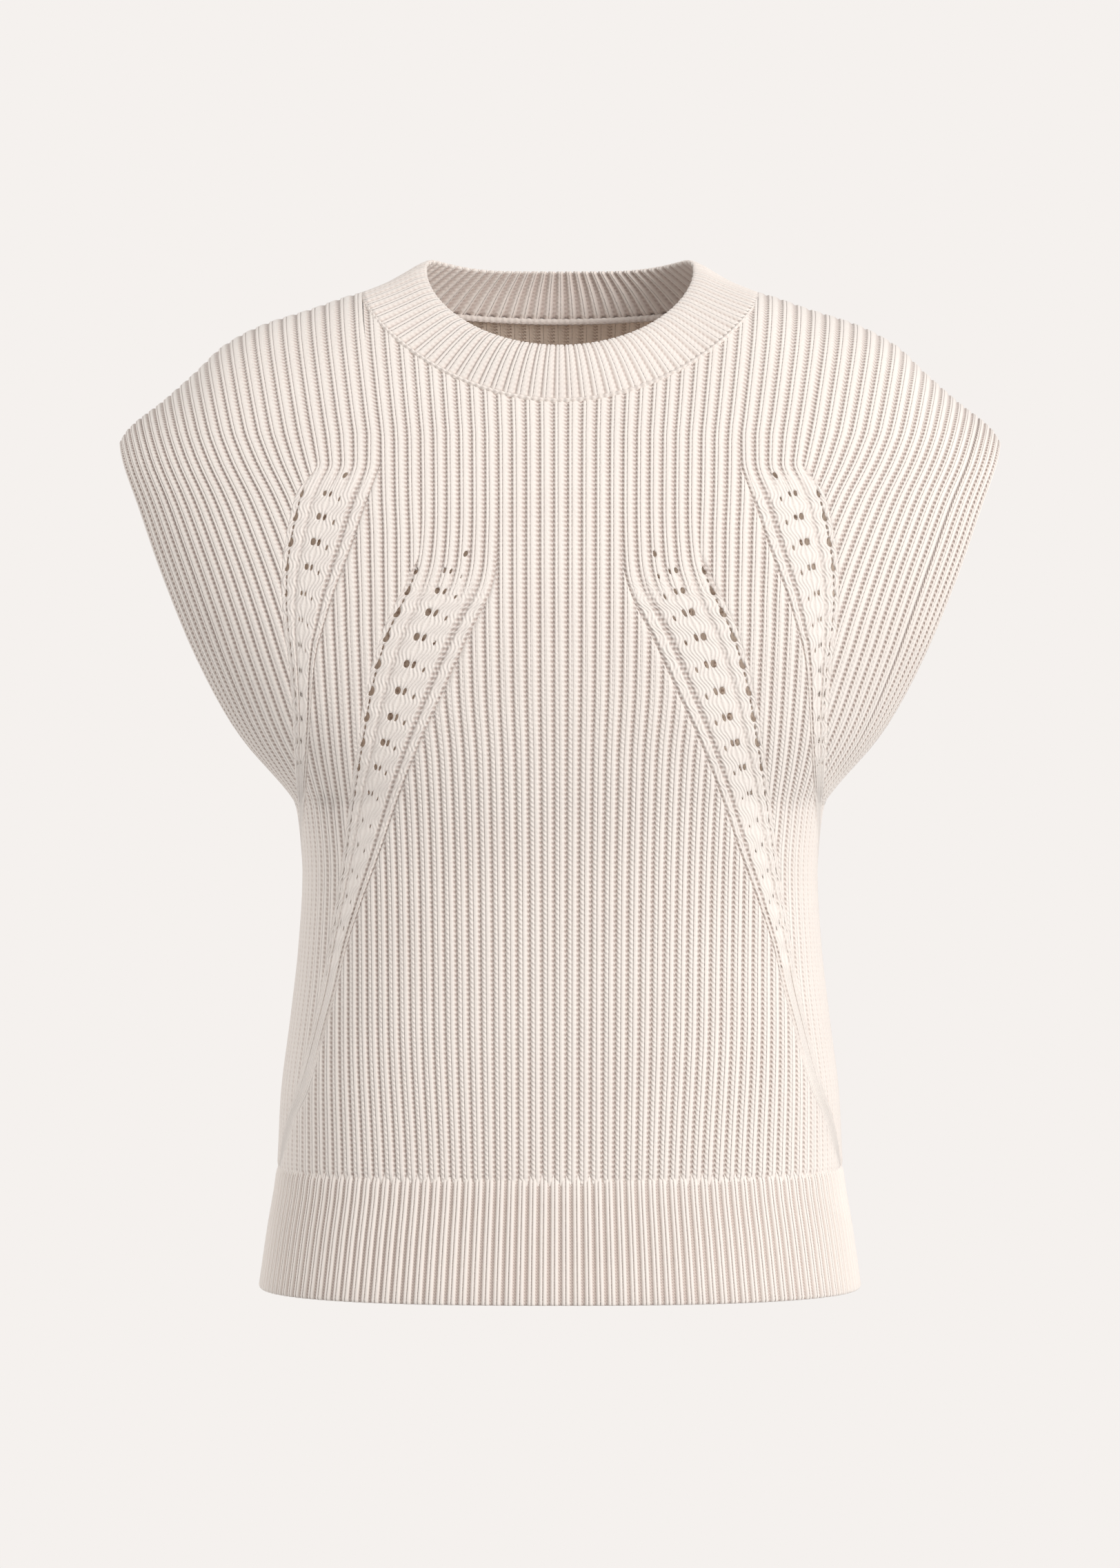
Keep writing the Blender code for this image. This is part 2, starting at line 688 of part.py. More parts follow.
def panel_wall(plan, ring, shared, side):
    """The closed wall of a panel: its ribbed outside, its plain inside, and the edges between them."""
    flat = np.array([(a * PLAN_SCALE, z) for a, z, _ in plan.points])
    outside = triangles_of(flat, plan.lines, ring, plan.holes)
    across = np.array([p[0] for p in plan.points])
    height = np.array([p[1] for p in plan.points])
    rise = np.array([p[2] for p in plan.points])
    outer = body_points(across, height, side, RIB_RISE * (1 - rise))

    grid = inside_points(shared, plan.holes, flat)
    kept = list(dict.fromkeys(shared + [i for hole in plan.holes for i in hole]))
    place = {i: order for order, i in enumerate(kept)}
    inner_flat = np.concatenate([flat[kept], grid])
    inner_holes = [[place[i] for i in hole] for hole in plan.holes]
    inside = triangles_of(inner_flat, [], [place[i] for i in shared], inner_holes)
    inner_across = np.concatenate([across[kept], grid[:, 0] / PLAN_SCALE])
    inner_height = np.concatenate([height[kept], grid[:, 1]])
    inner = body_points(inner_across, inner_height, side, np.full(len(inner_across), RIB_RISE + PLAIN_WALL))

    first = len(outer)
    faces = [tuple(f) for f in outside] + [(first + c, first + b, first + a) for a, b, c in inside]
    faces += wall_between(ring, [(i, first + place[i]) for i in shared])
    for hole in plan.holes:
        turned = hole[::-1] if signed_area(flat[hole]) > 0 else hole
        faces += wall_between(turned, [(i, first + place[i]) for i in turned])
    if side == "back":
        faces = [(c, b, a) for a, b, c in faces]
    return np.concatenate([outer, inner]), faces


def signed_area(points):
    x, y = points[:, 0], points[:, 1]
    return 0.5 * float(np.sum(x * np.roll(y, -1) - np.roll(x, -1) * y))


def grid_wall(outer, inner, shared_columns, closed):
    """A closed wall from an outer grid of points and a plain inner one, columns along the first axis.

    The inner grid has a column behind each of `shared_columns` of the outer one. Both grids share their
    first and last rows' heights; a closed wall joins its last column to its first.
    """
    columns, rows = outer.shape[:2]
    inner_columns, inner_rows = inner.shape[:2]
    first = columns * rows
    points = np.concatenate([outer.reshape(-1, 3), inner.reshape(-1, 3)])
    faces = []
    for a in range(columns if closed else columns - 1):
        b = (a + 1) % columns
        for row in range(rows - 1):
            p, q = a * rows + row, b * rows + row
            faces += [(p, q, q + 1), (p, q + 1, p + 1)]
    for a in range(inner_columns if closed else inner_columns - 1):
        b = (a + 1) % inner_columns
        for row in range(inner_rows - 1):
            p, q = first + a * inner_rows + row, first + b * inner_rows + row
            faces += [(q + 1, q, p), (p + 1, q + 1, p)]
    low = [(c * rows, first + k * inner_rows) for k, c in enumerate(shared_columns)]
    high = [(c * rows + rows - 1, first + k * inner_rows + inner_rows - 1) for k, c in enumerate(shared_columns)]
    if closed:
        faces += wall_between([c * rows for c in range(columns)], low)
        top = wall_between([c * rows + rows - 1 for c in range(columns)], high)
        return points, faces + [(c, b, a) for a, b, c in top]
    last = columns - 1
    ring = [c * rows for c in range(columns)]
    ring += [last * rows + row for row in range(1, rows)]
    ring += [c * rows + rows - 1 for c in range(last - 1, -1, -1)]
    ring += [row for row in range(rows - 2, 0, -1)]
    inner_last = (inner_columns - 1) * inner_rows
    rise = [(round(row * (rows - 1) / (inner_rows - 1)), row) for row in range(1, inner_rows - 1)]
    shared = low + [(last * rows + r, first + inner_last + k) for r, k in rise]
    shared += high[::-1] + [(r, first + k) for r, k in rise[::-1]]
    return points, faces + wall_between(ring, shared)


# ---------------------------------------------------------------- hem and neck bands


def hem_wall(side):
    """A hem band from the hem to just under its panel, flaring outwards, finer ribbed than the panel."""
    rows = np.array([0.0, 20.0, 42.0, HEM_BAND_HEIGHT - SEAM_GAP / 2])
    halves = np.arange(-2 * HEM_RIBS, 2 * HEM_RIBS + 1)
    across = halves / (2 * HEM_RIBS)
    rise = np.where(halves % 2 == 0, 1.0, 0.0)
    rise[[0, -1]] = 0.3
    outer = body_points(
        np.repeat(across[:, None], len(rows), 1),
        np.repeat(rows[None], len(across), 0),
        side,
        np.repeat(RIB_RISE * (1 - rise)[:, None], len(rows), 1),
    )
    shared = list(range(0, len(across), 5))
    inner_rows = rows[[0, 2, 3]]
    inner = body_points(
        np.repeat(across[shared][:, None], 3, 1),
        np.repeat(inner_rows[None], len(shared), 0),
        side,
        np.full((len(shared), 3), RIB_RISE + PLAIN_WALL),
    )
    points, faces = grid_wall(outer, inner, shared, closed=False)
    if side == "back":
        faces = [(c, b, a) for a, b, c in faces]
    return points, faces


def neck_seam(turn):
    """Points of the neck seam on the body and the way out of the cloth there, at angles from centre front."""
    front = np.cos(turn) > 0
    distance = NECK_HALF_WIDTH * np.sin(turn)
    distance = np.clip(distance, -NECK_HALF_WIDTH + 1e-6, NECK_HALF_WIDTH - 1e-6)
    height = np.where(front, neckline_height(distance, "front"), neckline_height(distance, "back"))
    depth = np.where(front, -depth_of(distance, height, "front"), depth_of(distance, height, "back"))
    out = np.where(front[:, None], outward(distance, height, "front"), outward(distance, height, "back"))
    return np.stack([distance, depth, height], axis=-1), out


def neck_edge(turn):
    """Points of the band's free edge: an oval that is high at the sides and back and dips at the front."""
    front = np.maximum(np.cos(turn), 0)
    back = np.maximum(-np.cos(turn), 0)
    height = SIDE_EDGE_HEIGHT + (FRONT_EDGE_HEIGHT - SIDE_EDGE_HEIGHT) * front**1.25
    height = height + (BACK_EDGE_HEIGHT - SIDE_EDGE_HEIGHT) * back
    depth = -NECK_EDGE_FRONT * front + NECK_EDGE_BACK * back
    return np.stack([NECK_EDGE_HALF_WIDTH * np.sin(turn), depth, height], axis=-1)


def neck_turns(count):
    """Angles that divide the neck seam into equal lengths, from centre front."""
    fine = np.linspace(0, 2 * math.pi, 1441)
    seam, _ = neck_seam(fine)
    length = np.concatenate([[0], np.cumsum(np.linalg.norm(np.diff(seam, axis=0), axis=1))])
    return np.interp(np.arange(count) / count * length[-1], length, fine)


def neck_points(turn, share, below):
    """Points of the band at each angle and share of its height, `below` its outermost surface."""
    seam, out = neck_seam(turn)
    edge = neck_edge(turn)
    up = edge - seam
    up = up / np.linalg.norm(up, axis=1, keepdims=True)
    start = seam + up * SEAM_GAP * 1.6
    around = np.stack([np.cos(turn), np.sin(turn), 0 * turn], axis=-1)
    flat_out = np.cross(around, up)
    flat_out = flat_out / np.linalg.norm(flat_out, axis=1, keepdims=True)
    lean = np.clip(share * 3, 0, 1)[None, :, None]
    way = out[:, None] * (1 - lean) + flat_out[:, None] * lean
    way = way / np.linalg.norm(way, axis=2, keepdims=True)
    along = share[None, :, None]
    bulge = NECK_BULGE * np.sin(math.pi * along)
    surface = start[:, None] * (1 - along) + edge[:, None] * along + flat_out[:, None] * bulge
    return surface - way * below[..., None]


def neck_wall():
    """The neck band, a ribbed ring that leans inwards, with a plain inside."""
    rows = np.array([0.0, 0.35, 0.7, 1.0])
    turn = neck_turns(2 * NECK_RIBS)
    rise = np.where(np.arange(len(turn)) % 2 == 0, 1.0, 0.0)
    outer = neck_points(turn, rows, np.repeat(RIB_RISE * (1 - rise)[:, None], len(rows), 1))
    shared = list(range(0, len(turn), 2))
    inner_rows = rows[[0, 2, 3]]
    inner = neck_points(turn[shared], inner_rows, np.full((len(shared), 3), RIB_RISE + PLAIN_WALL))
    return grid_wall(outer, inner, shared, closed=True)


# ---------------------------------------------------------------- objects


def knit_material(name):
    material = bpy.data.materials.new(name)
    material.use_nodes = True
    shader = material.node_tree.nodes["Principled BSDF"]
    shader.inputs["Base Color"].default_value = CREAM
    shader.inputs["Roughness"].default_value = 0.9
    shader.inputs["Metallic"].default_value = 0.0
    return material


def add_piece(name, points, faces, collection):
    """One named object from points in millimetres above the hem."""
    metres = (points - np.array([0, 0, ORIGIN_HEIGHT])) * MM
    mesh = bpy.data.meshes.new(name)
    mesh.from_pydata(metres.tolist(), [], [tuple(int(i) for i in f) for f in faces])
    mesh.validate()
    mesh.shade_smooth()
    mesh.set_sharp_from_angle(angle=math.radians(50))
    piece = bpy.data.objects.new(name, mesh)
    piece.data.materials.append(knit_material(name + "_knit"))
    collection.objects.link(piece)
    return piece


def main():
    for old in list(bpy.data.objects):
        bpy.data.objects.remove(old, do_unlink=True)
    collection = bpy.data.collections.new("short_sleeve_sweater")
    bpy.context.scene.collection.children.link(collection)
    for side, make_plan in (("front", front_plan), ("back", back_plan)):
        plan, feet, heads = make_plan()
        ring, shared = border_of(plan, feet, heads, side)
        add_piece(side + "_panel", *panel_wall(plan, ring, shared, side), collection)
        add_piece("hem_band_" + side, *hem_wall(side), collection)
    add_piece("neck_band", *neck_wall(), collection)


main()
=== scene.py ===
import math

import bpy
import numpy as np
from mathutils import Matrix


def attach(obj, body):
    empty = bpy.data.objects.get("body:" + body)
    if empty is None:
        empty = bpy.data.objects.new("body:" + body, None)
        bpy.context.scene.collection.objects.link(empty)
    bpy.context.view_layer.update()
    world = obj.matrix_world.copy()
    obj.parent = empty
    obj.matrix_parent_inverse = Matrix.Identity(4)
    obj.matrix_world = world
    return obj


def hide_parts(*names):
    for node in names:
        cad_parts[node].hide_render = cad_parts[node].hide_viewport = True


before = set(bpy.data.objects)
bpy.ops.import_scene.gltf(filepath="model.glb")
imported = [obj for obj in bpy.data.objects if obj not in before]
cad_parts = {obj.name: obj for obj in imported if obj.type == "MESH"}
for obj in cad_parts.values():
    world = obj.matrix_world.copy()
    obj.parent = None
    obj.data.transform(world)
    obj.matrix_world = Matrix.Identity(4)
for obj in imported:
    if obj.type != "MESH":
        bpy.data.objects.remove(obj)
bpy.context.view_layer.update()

# --------------------
# The studio. A level camera 3 m in front of the garment, against a pale paper backdrop that sweeps up from
# the floor. A strong soft box stands at the right, weaker ones above and at the left, and two small ones
# beside the garment light its edges, in a bright room.

VIEW_HEIGHT = 0.8269  # what the picture covers at the garment's middle, in metres
CAMERA_DISTANCE = 3.0
EYE_HEIGHT = -0.2593
PAPER = "F5F1EE"


def linear(colour):
    """An sRGB hex colour as linear red, green, blue and an alpha of 1."""
    parts = np.array([int(colour[i : i + 2], 16) / 255 for i in (0, 2, 4)])
    parts = np.where(parts <= 0.04045, parts / 12.92, ((parts + 0.055) / 1.055) ** 2.4)
    return (*parts.tolist(), 1.0)


def add_node(tree, kind, inputs=(), **settings):
    """A shader node with its settings; inputs gives a value or another node's output for each socket."""
    node = tree.nodes.new("ShaderNode" + kind)
    for name, value in settings.items():
        setattr(node, name, value)
    for key, value in dict(inputs).items():
        if isinstance(value, bpy.types.NodeSocket):
            tree.links.new(value, node.inputs[key])
        else:
            node.inputs[key].default_value = value
    return node


def new_object(name, data):
    made = bpy.data.objects.new(name, data)
    bpy.context.scene.collection.objects.link(made)
    return made


eye = bpy.data.cameras.new("eye")
eye.sensor_width = 36.0
eye.lens = 36.0 * CAMERA_DISTANCE / VIEW_HEIGHT
eye_holder = new_object("eye", eye)
eye_holder.location = (0.0, -CAMERA_DISTANCE, EYE_HEIGHT)
eye_holder.rotation_euler = (math.pi / 2, 0.0, 0.0)
bpy.context.scene.camera = eye_holder
bpy.context.scene.view_settings.view_transform = "Standard"

room = bpy.data.worlds.new("bright_room")
room.use_nodes = True
background = room.node_tree.nodes["Background"]
background.inputs["Color"].default_value = linear("FBFAF9")
background.inputs["Strength"].default_value = 0.54
bpy.context.scene.world = room

SOFT_BOXES = {
    # name: place, size, watts
    "right_box": ((2.1, -2.3, 0.5), 1.5, 66.0),
    "top_box": ((0.1, -0.7, 2.2), 1.6, 10.0),
    "left_box": ((-2.4, -2.2, 0.2), 1.6, 6.0),
    "right_edge_box": ((2.4, 0.2, -0.2), 1.2, 6.0),
    "left_edge_box": ((-2.4, 0.2, -0.2), 1.2, 15.0),
}
for box_name, (box_place, box_size, watts) in SOFT_BOXES.items():
    lamp = bpy.data.lights.new(box_name, "AREA")
    lamp.size = box_size
    lamp.energy = watts
    holder = new_object(box_name, lamp)
    holder.location = box_place
    aim = np.array((0.0, 0.0, EYE_HEIGHT)) - np.array(box_place)
    holder.rotation_euler = (
        math.acos(-aim[2] / np.linalg.norm(aim)), 0.0, math.atan2(aim[1], aim[0]) - math.pi / 2,
    )

# The paper: flat to 4 m behind the garment, then a quarter circle of 2 m, then upright.
bend = np.linspace(0, math.pi / 2, 25)
paper_y = np.hstack([-9.0, 4.0 + 2.0 * np.sin(bend), 6.0])
paper_z = np.hstack([-1.2, 0.8 - 2.0 * np.cos(bend), 7.0])
paper_points = [(x, y, z) for x in (-9.0, 9.0) for y, z in zip(paper_y, paper_z)]
step = len(paper_y)
paper_faces = [(k, step + k, step + k + 1, k + 1) for k in range(step - 1)]
paper_mesh = bpy.data.meshes.new("paper_sweep")
paper_mesh.from_pydata(paper_points, [], paper_faces)
paper_mesh.shade_smooth()
paper = new_object("paper_sweep", paper_mesh)
backdrop_paper = bpy.data.materials.new("backdrop_paper_evenly_lit")
backdrop_paper.use_nodes = True
tree = backdrop_paper.node_tree
tree.nodes.clear()
glow = add_node(tree, "Emission", {"Color": linear(PAPER), "Strength": 1.0})
add_node(tree, "OutputMaterial", {"Surface": glow.outputs[0]})
paper_mesh.materials.append(backdrop_paper)
paper.visible_diffuse = False
paper.visible_glossy = False
paper.visible_shadow = False

# --------------------
# The front panel and its half of the cap sleeves: half-cardigan rib in thick cotton, knitted upwards from
# the hem band. Its ribs end at each dart's row of eyelets, and new ones start at the dart's inner side.

ORIGIN_HEIGHT = 523.3
TIP_HEIGHT = 444.5
ARMPIT_HEIGHT = 253.5
BAND_HEIGHT = 63.0
OVAL_POWER = 2.5
OVAL_ASPECT = 0.8
WALL = 3.2  # thickness of the cloth at a ridge
FURROW = 1.15
INNER_FURROW = 0.75
FADED_RELIEF = 0.6  # relief of the cloth that a rib fades into
EDGE_STRENGTH = 0.6  # strength of the last rib before the sleeve's edge
ROW = 2.5
STRIP_LAP = 0.14  # how far a strip runs on under the strip beside it, in ribs
TUCK = 0.9  # how far below its surface a strip's border runs on, under the strip beside it
HEM_LAP = 3.6  # the body's ribs and the hem's both run this far past the line between them, sinking away
HEM_SINK = 1.35

BODY = {
    "height": (0, 30, 63, 100, 140, 180, 215, 240, 253.5, 262, 270, 285, 300, 330, 350, 380, 410, 430,
               444.5, 470, 500, 545),
    "half_width": (158.5, 154.2, 149.1, 147.2, 142.3, 137.8, 135.8, 137.3, 139.4, 145, 151.8, 164.4,
                   174.2, 189.3, 197.7, 209.2, 219.7, 227.3, 231.8, 240, 248, 256),
    "oval_width": (158.5, 154.2, 149.1, 147.2, 142.3, 137.8, 135.8, 137.3, 139.4, 145.2, 152.4, 166.8,
                   179, 199.2, 210.8, 225.3, 235.6, 241.8, 245.5, 254, 262, 270),
    "front_depth": (126, 122, 118, 114, 110, 107, 106, 108, 110, 111.5, 112.5, 114.5, 116, 117, 116, 111,
                    103, 94, 87, 76, 70, 68),
    "back_depth": (118, 113, 108, 104, 101, 99, 99, 100, 101, 102, 102.5, 104, 105, 107, 108, 107, 105,
                   102, 99, 94, 88, 84),
}
SHOULDER = {
    "distance": (0, 60, 104, 132, 157, 177, 192, 208.7, 226.9, 231.8, 240, 262),
    "height": (533, 530, 523.3, 514.2, 506, 495.2, 481.1, 466.3, 451.6, 444.5, 430, 400),
    "front_round": (120, 105, 82, 72, 64, 56, 50, 43, 34, 32, 30, 30),
    "back_round": (80, 78, 76, 70, 63, 56, 50, 43, 34, 32, 30, 30),
}
PITCH = {
    "height": (63, 100, 168, 223, 254, 277, 312, 350, 386, 410, 444.5),
    "centre": (6.1, 6.15, 6.25, 6.35, 6.45, 6.55, 6.9, 7.03, 7.08, 7.1, 7.18),
    "between": (7.15, 7.05, 6.62, 6.52, 6.63, 6.62, 6.65, 6.72, 6.98, 7.1, 7.18),
}
EDGE_RIB = 38.0  # number of the rib at the sleeve's edge, and below it of the one at the side
SIDE_RIB = 30.8
LACE_PULL = 0.55  # how far ribs are drawn in above the lace and above the hem, in ribs
HEM_PULL = 0.50
SHOULDER_FLAT = 0.3
NECK_HALF_WIDTH = 104.0
FRONT_NECK_HEIGHT = 461.5
BACK_NECK_HEIGHT = 515.0
FACING = {"front": -1, "back": 1}


def smooth(table, column, at):
    """The table's column against its first, on a curve through its rows that doesn't overshoot."""
    x = np.array(next(iter(table.values())), float)
    y = np.array(table[column], float)
    gap = np.diff(x)
    chord = np.diff(y) / gap
    product = chord[1:] * chord[:-1]
    total = chord[1:] + chord[:-1]
    middle = np.where(product > 0, 2 * product / np.where(total == 0, 1, total), 0)
    slope = np.hstack([chord[0], middle, chord[-1]])
    row = np.clip(np.searchsorted(x, at) - 1, 0, len(x) - 2)
    t = np.clip((at - x[row]) / gap[row], 0, 1)
    ends = (1 + 2 * t) * (1 - t) ** 2 * y[row] + t * t * (3 - 2 * t) * y[row + 1]
    return ends + gap[row] * (t * (1 - t) ** 2 * slope[row] + t * t * (t - 1) * slope[row + 1])


def ease(low, high, at):
    """0 below low, 1 above high, and an S-curve between them."""
    t = np.clip((at - low) / (high - low), 0, 1)
    return t * t * (3 - 2 * t)


quarter = np.linspace(0, math.pi / 2, 1500)
OVAL_ACROSS = np.sin(quarter) ** (2 / OVAL_POWER)
oval_forward = OVAL_ASPECT * np.cos(quarter) ** (2 / OVAL_POWER)
oval_run = np.cumsum(np.hypot(np.diff(OVAL_ACROSS, prepend=0), np.diff(oval_forward, prepend=OVAL_ASPECT)))
OVAL_LENGTH = oval_run[-1]
OVAL_SHARE = oval_run / OVAL_LENGTH


def oval_width(height):
    return smooth(BODY, "oval_width", height)


def shoulder_line(distance):
    return smooth(SHOULDER, "height", distance)


def edge_share(height):
    """How much of a quarter oval the cloth covers, up to the side or the sleeve's free edge."""
    widest = smooth(BODY, "half_width", height) / oval_width(height)
    return np.interp(widest, OVAL_ACROSS, OVAL_SHARE)


def edge_length(height):
    """Length of cloth from the centre to the side or the sleeve's edge: the covered share of the oval."""
    return oval_width(height) * OVAL_LENGTH * edge_share(height)


def distance_of(across, height):
    """Distance from the centre plane of a point at `across`, from -1 to 1 round the section."""
    share = np.abs(across) * edge_share(height)
    return np.sign(across) * oval_width(height) * np.interp(share, OVAL_SHARE, OVAL_ACROSS)


def across_of(distance, height):
    """The reverse of distance_of."""
    share = np.interp(np.abs(distance) / oval_width(height), OVAL_ACROSS, OVAL_SHARE)
    return np.sign(distance) * share / edge_share(height)


def squared_depth(distance, height, side):
    """(Depth over full depth) squared: the oval round the body times the rounding below the shoulder line."""
    oval = 1 - (np.abs(distance) / oval_width(height)) ** OVAL_POWER
    oval = np.sign(oval) * np.abs(oval) ** (2 / OVAL_POWER)
    far = np.abs(distance)
    drop = (shoulder_line(far) - height) / smooth(SHOULDER, side + "_round", far)
    return oval * (1 - (1 - np.minimum(drop, 1)) ** 2)


def unit(vectors):
    return vectors / np.linalg.norm(vectors, axis=-1, keepdims=True)


def outward(distance, height, side):
    """Unit direction out of the cloth, from the slopes of squared_depth; level below the chest."""
    inside = np.sign(distance) * np.minimum(np.abs(distance), oval_width(height) - 0.1)
    low = np.minimum(height, shoulder_line(np.abs(inside)) - 0.1)
    full = smooth(BODY, side + "_depth", low)
    depth = full * np.sqrt(np.maximum(squared_depth(inside, low, side), 0))
    slope_x = (squared_depth(inside + 0.05, low, side) - squared_depth(inside - 0.05, low, side)) / 0.1
    slope_z = (squared_depth(inside, low + 0.05, side) - squared_depth(inside, low - 0.05, side)) / 0.1
    forward = FACING[side] * 2 * depth / full**2
    return unit(np.stack([-slope_x, forward, -slope_z * ease(300, 390, height)], axis=-1))


def on_body(across, height, side, below):
    """Points of a panel: distance, depth and height, moved inwards by `below` from the outermost surface."""
    across, height, below = np.broadcast_arrays(across, height, below)
    distance = distance_of(across, height)
    facing = FACING[side]
    share = np.sqrt(np.maximum(squared_depth(distance, height, side), 0))
    depth = smooth(BODY, side + "_depth", height) * share
    surface = np.stack([distance, facing * np.maximum(depth, 0.1), height], axis=-1)
    points = surface - outward(distance, height, side) * below[..., None]
    points[..., 1] = facing * np.maximum(facing * points[..., 1], 0.02)
    return points


def neckline_height(distance, side):
    """Height of the linking seam round the neck: a parabola at the back, a scoop at the front."""
    share = np.minimum(np.abs(distance) / NECK_HALF_WIDTH, 1)
    end = shoulder_line(NECK_HALF_WIDTH)
    scoop = 0.5 * (1 - np.sqrt(1 - share**2)) + 0.5 * share**2
    rise = share**2 if side == "back" else scoop
    low = BACK_NECK_HEIGHT if side == "back" else FRONT_NECK_HEIGHT
    return low + (end - low) * rise


def top_height(across, side):
    """Height of a panel's upper border: the neck seam, and from its ends the shoulder line."""
    height = np.full(np.shape(across), 500.0)
    for _ in range(40):
        distance = distance_of(across, height)
        at_neck = np.abs(distance) < NECK_HALF_WIDTH
        shoulder = shoulder_line(np.abs(distance))
        height = 0.5 * (height + np.where(at_neck, neckline_height(distance, side), shoulder))
    return height


def drawn_by(pull, number):
    """Rib numbers moved towards the centre by pull, most of all those between the darts."""
    size = np.abs(number)
    return number - np.sign(number) * pull * ease(3, 13.5, size) * (1 - ease(14, 28, size))


def drawn_in(number, height):
    """Rib numbers of the front, which the lace and the hem draw in by up to half a rib."""
    return drawn_by(LACE_PULL * ease(340, 400, height) + HEM_PULL * (1 - ease(58, 145, height)), number)


def even_rib(name):
    """Rule of ribs that keep their distance to the centre front by a pitch of their own."""
    def rule(number, height):
        number = drawn_in(number, height)
        place = number * smooth(PITCH, name, height) / edge_length(height)
        return np.where(height > TIP_HEIGHT, number / EDGE_RIB, np.minimum(place, 1))
    return rule


def cap_rib(number, height):
    """Ribs of the sleeve's cap, which turn from upright to parallel with the sleeve's edge."""
    length = edge_length(height)
    blend = ease(14.0, 24.0, number)
    number = drawn_in(number, height)
    beside_edge = 1 - (EDGE_RIB - number) * smooth(PITCH, "centre", TIP_HEIGHT) / length
    below_tip = (1 - blend) * number * smooth(PITCH, "centre", height) / length + blend * beside_edge
    return np.where(height > TIP_HEIGHT, number / EDGE_RIB, below_tip)


def side_rib(number, height):
    """Ribs between the darts; the last one lies on the side seam."""
    return np.where(number >= SIDE_RIB, 1.0, even_rib("between")(number, height))


centre_rib = even_rib("centre")

DARTS = {
    "inner": {
        "height": (63, 76.3, 92.8, 103.6, 123, 140, 160, 180, 205, 229, 256, 284, 311, 338, 363.7, 392),
        "eyelets": (148.3, 145.2, 141, 137, 131, 126.5, 121.8, 118.5, 113.9, 110, 106, 101.2,
                    96.4, 88.8, 77, 66),
        "inner_side": (147.3, 142.5, 136.6, 130.9, 124.7, 120.3, 114.6, 109.8, 101.4, 92.3, 82.8, 71.6,
                       59, 46.6, 34.3, 27),
    },
    "outer": {
        "height": (206, 215, 225, 240, 254, 275, 298, 320, 334, 347, 360, 374, 387, 400, 412, 430),
        "eyelets": (136.01, 135.8, 136.09, 136.77, 136.5, 135.5, 135, 136.3, 137.8, 139.3, 140, 139.7,
                    138, 135.6, 132.6, 122.5),
        "inner_side": (136.01, 135.73, 135.63, 134.93, 133, 130, 127.6, 125.8, 123.5, 119.5, 115.5, 110.2,
                       105.4, 101.2, 97, 90.5),
    },
}
# Each dart: its ribs above, its rule there, foot and head, and the heights of its eyelets.
DART_RUNS = {
    "inner": {"ribs": (4.5, 10.5), "rule": centre_rib, "foot": 64, "head": 388, "lace_top": 396,
              "eyelets": (372.6, 362.2, 351.2, 338.7, 325, 311.4, 298.2, 285.2, 272.6, 259.5, 245.5,
                          232.8, 219.5, 206.4, 192.8, 180.1, 167)},
    "outer": {"ribs": (13.5, 18.5), "rule": cap_rib, "foot": 206, "head": 427, "lace_top": 434,
              "eyelets": (412.6, 400.6, 387.6, 374.8, 361.4, 348, 335, 322.2, 310, 297.8, 286.3,
                          275.4)},
}
EYELET_MARGIN = 2.7  # cloth past the eyelets' middle, where the ribs beside it end
LEAST_MARGIN = 0.25


def dart_edge(name, line, height, extra=0.0):
    """Place across the panel of a dart's eyelets or inner side, moved outwards by extra millimetres."""
    return across_of(smooth(DARTS[name], line, height), height) + extra / edge_length(height)


def eyelet_margin(name, height):
    """Cloth past the eyelets: none above the dart's head, and less towards its foot."""
    run = DART_RUNS[name]
    below_head = 1 - ease(run["head"] - 16, run["head"] - 4, height)
    above_foot = 0.35 + 0.65 * ease(run["foot"], run["foot"] + 90, height)
    return LEAST_MARGIN + (EYELET_MARGIN - LEAST_MARGIN) * below_head * above_foot


# How a rib is sampled across, from furrow to furrow, and its relief there in the upper and lower part: two
# columns of stitches of different width, with a thin line between them.
PHASES = (0, 0.05, 0.1, 0.16, 0.24, 0.3, 0.345, 0.39, 0.46, 0.53, 0.62, 0.74, 0.83, 0.9, 0.95, 1)
UPPER_RELIEF = (0, 0.08, 0.48, 0.9, 0.97, 0.86, 0.6, 0.86, 0.98, 1, 1, 0.86, 0.55, 0.26, 0.08, 0)
LOWER_RELIEF = (0, 0.08, 0.38, 0.72, 0.9, 0.95, 0.93, 0.86, 0.6, 0.88, 1, 0.97, 0.72, 0.34, 0.1, 0)


def rib_columns(first, last):
    """Rib numbers of the columns of a strip: every phase of every rib between its first and last."""
    whole = np.arange(math.floor(first) - 1, math.ceil(last) + 1)
    every = (whole[:, None] - 0.5 + PHASES[:-1]).ravel()
    every = every[(every > first + 0.02) & (every < last - 0.02)]
    return np.hstack([first, every, last])


def rib_relief(number, height):
    """Relief from 0 in a furrow to 1 on a ridge, by where the rib number lies between two furrows."""
    phase = np.mod(number + 0.5, 1)
    upper = ease(250, 370, height)
    lower_relief = np.interp(phase, PHASES, LOWER_RELIEF)
    return upper * np.interp(phase, PHASES, UPPER_RELIEF) + (1 - upper) * lower_relief


def run_along(points):
    """Length along rows of points, from their first."""
    steps = np.linalg.norm(np.diff(points, axis=-2), axis=-1)
    return np.cumsum(np.insert(steps, 0, 0, axis=-1), axis=-1)


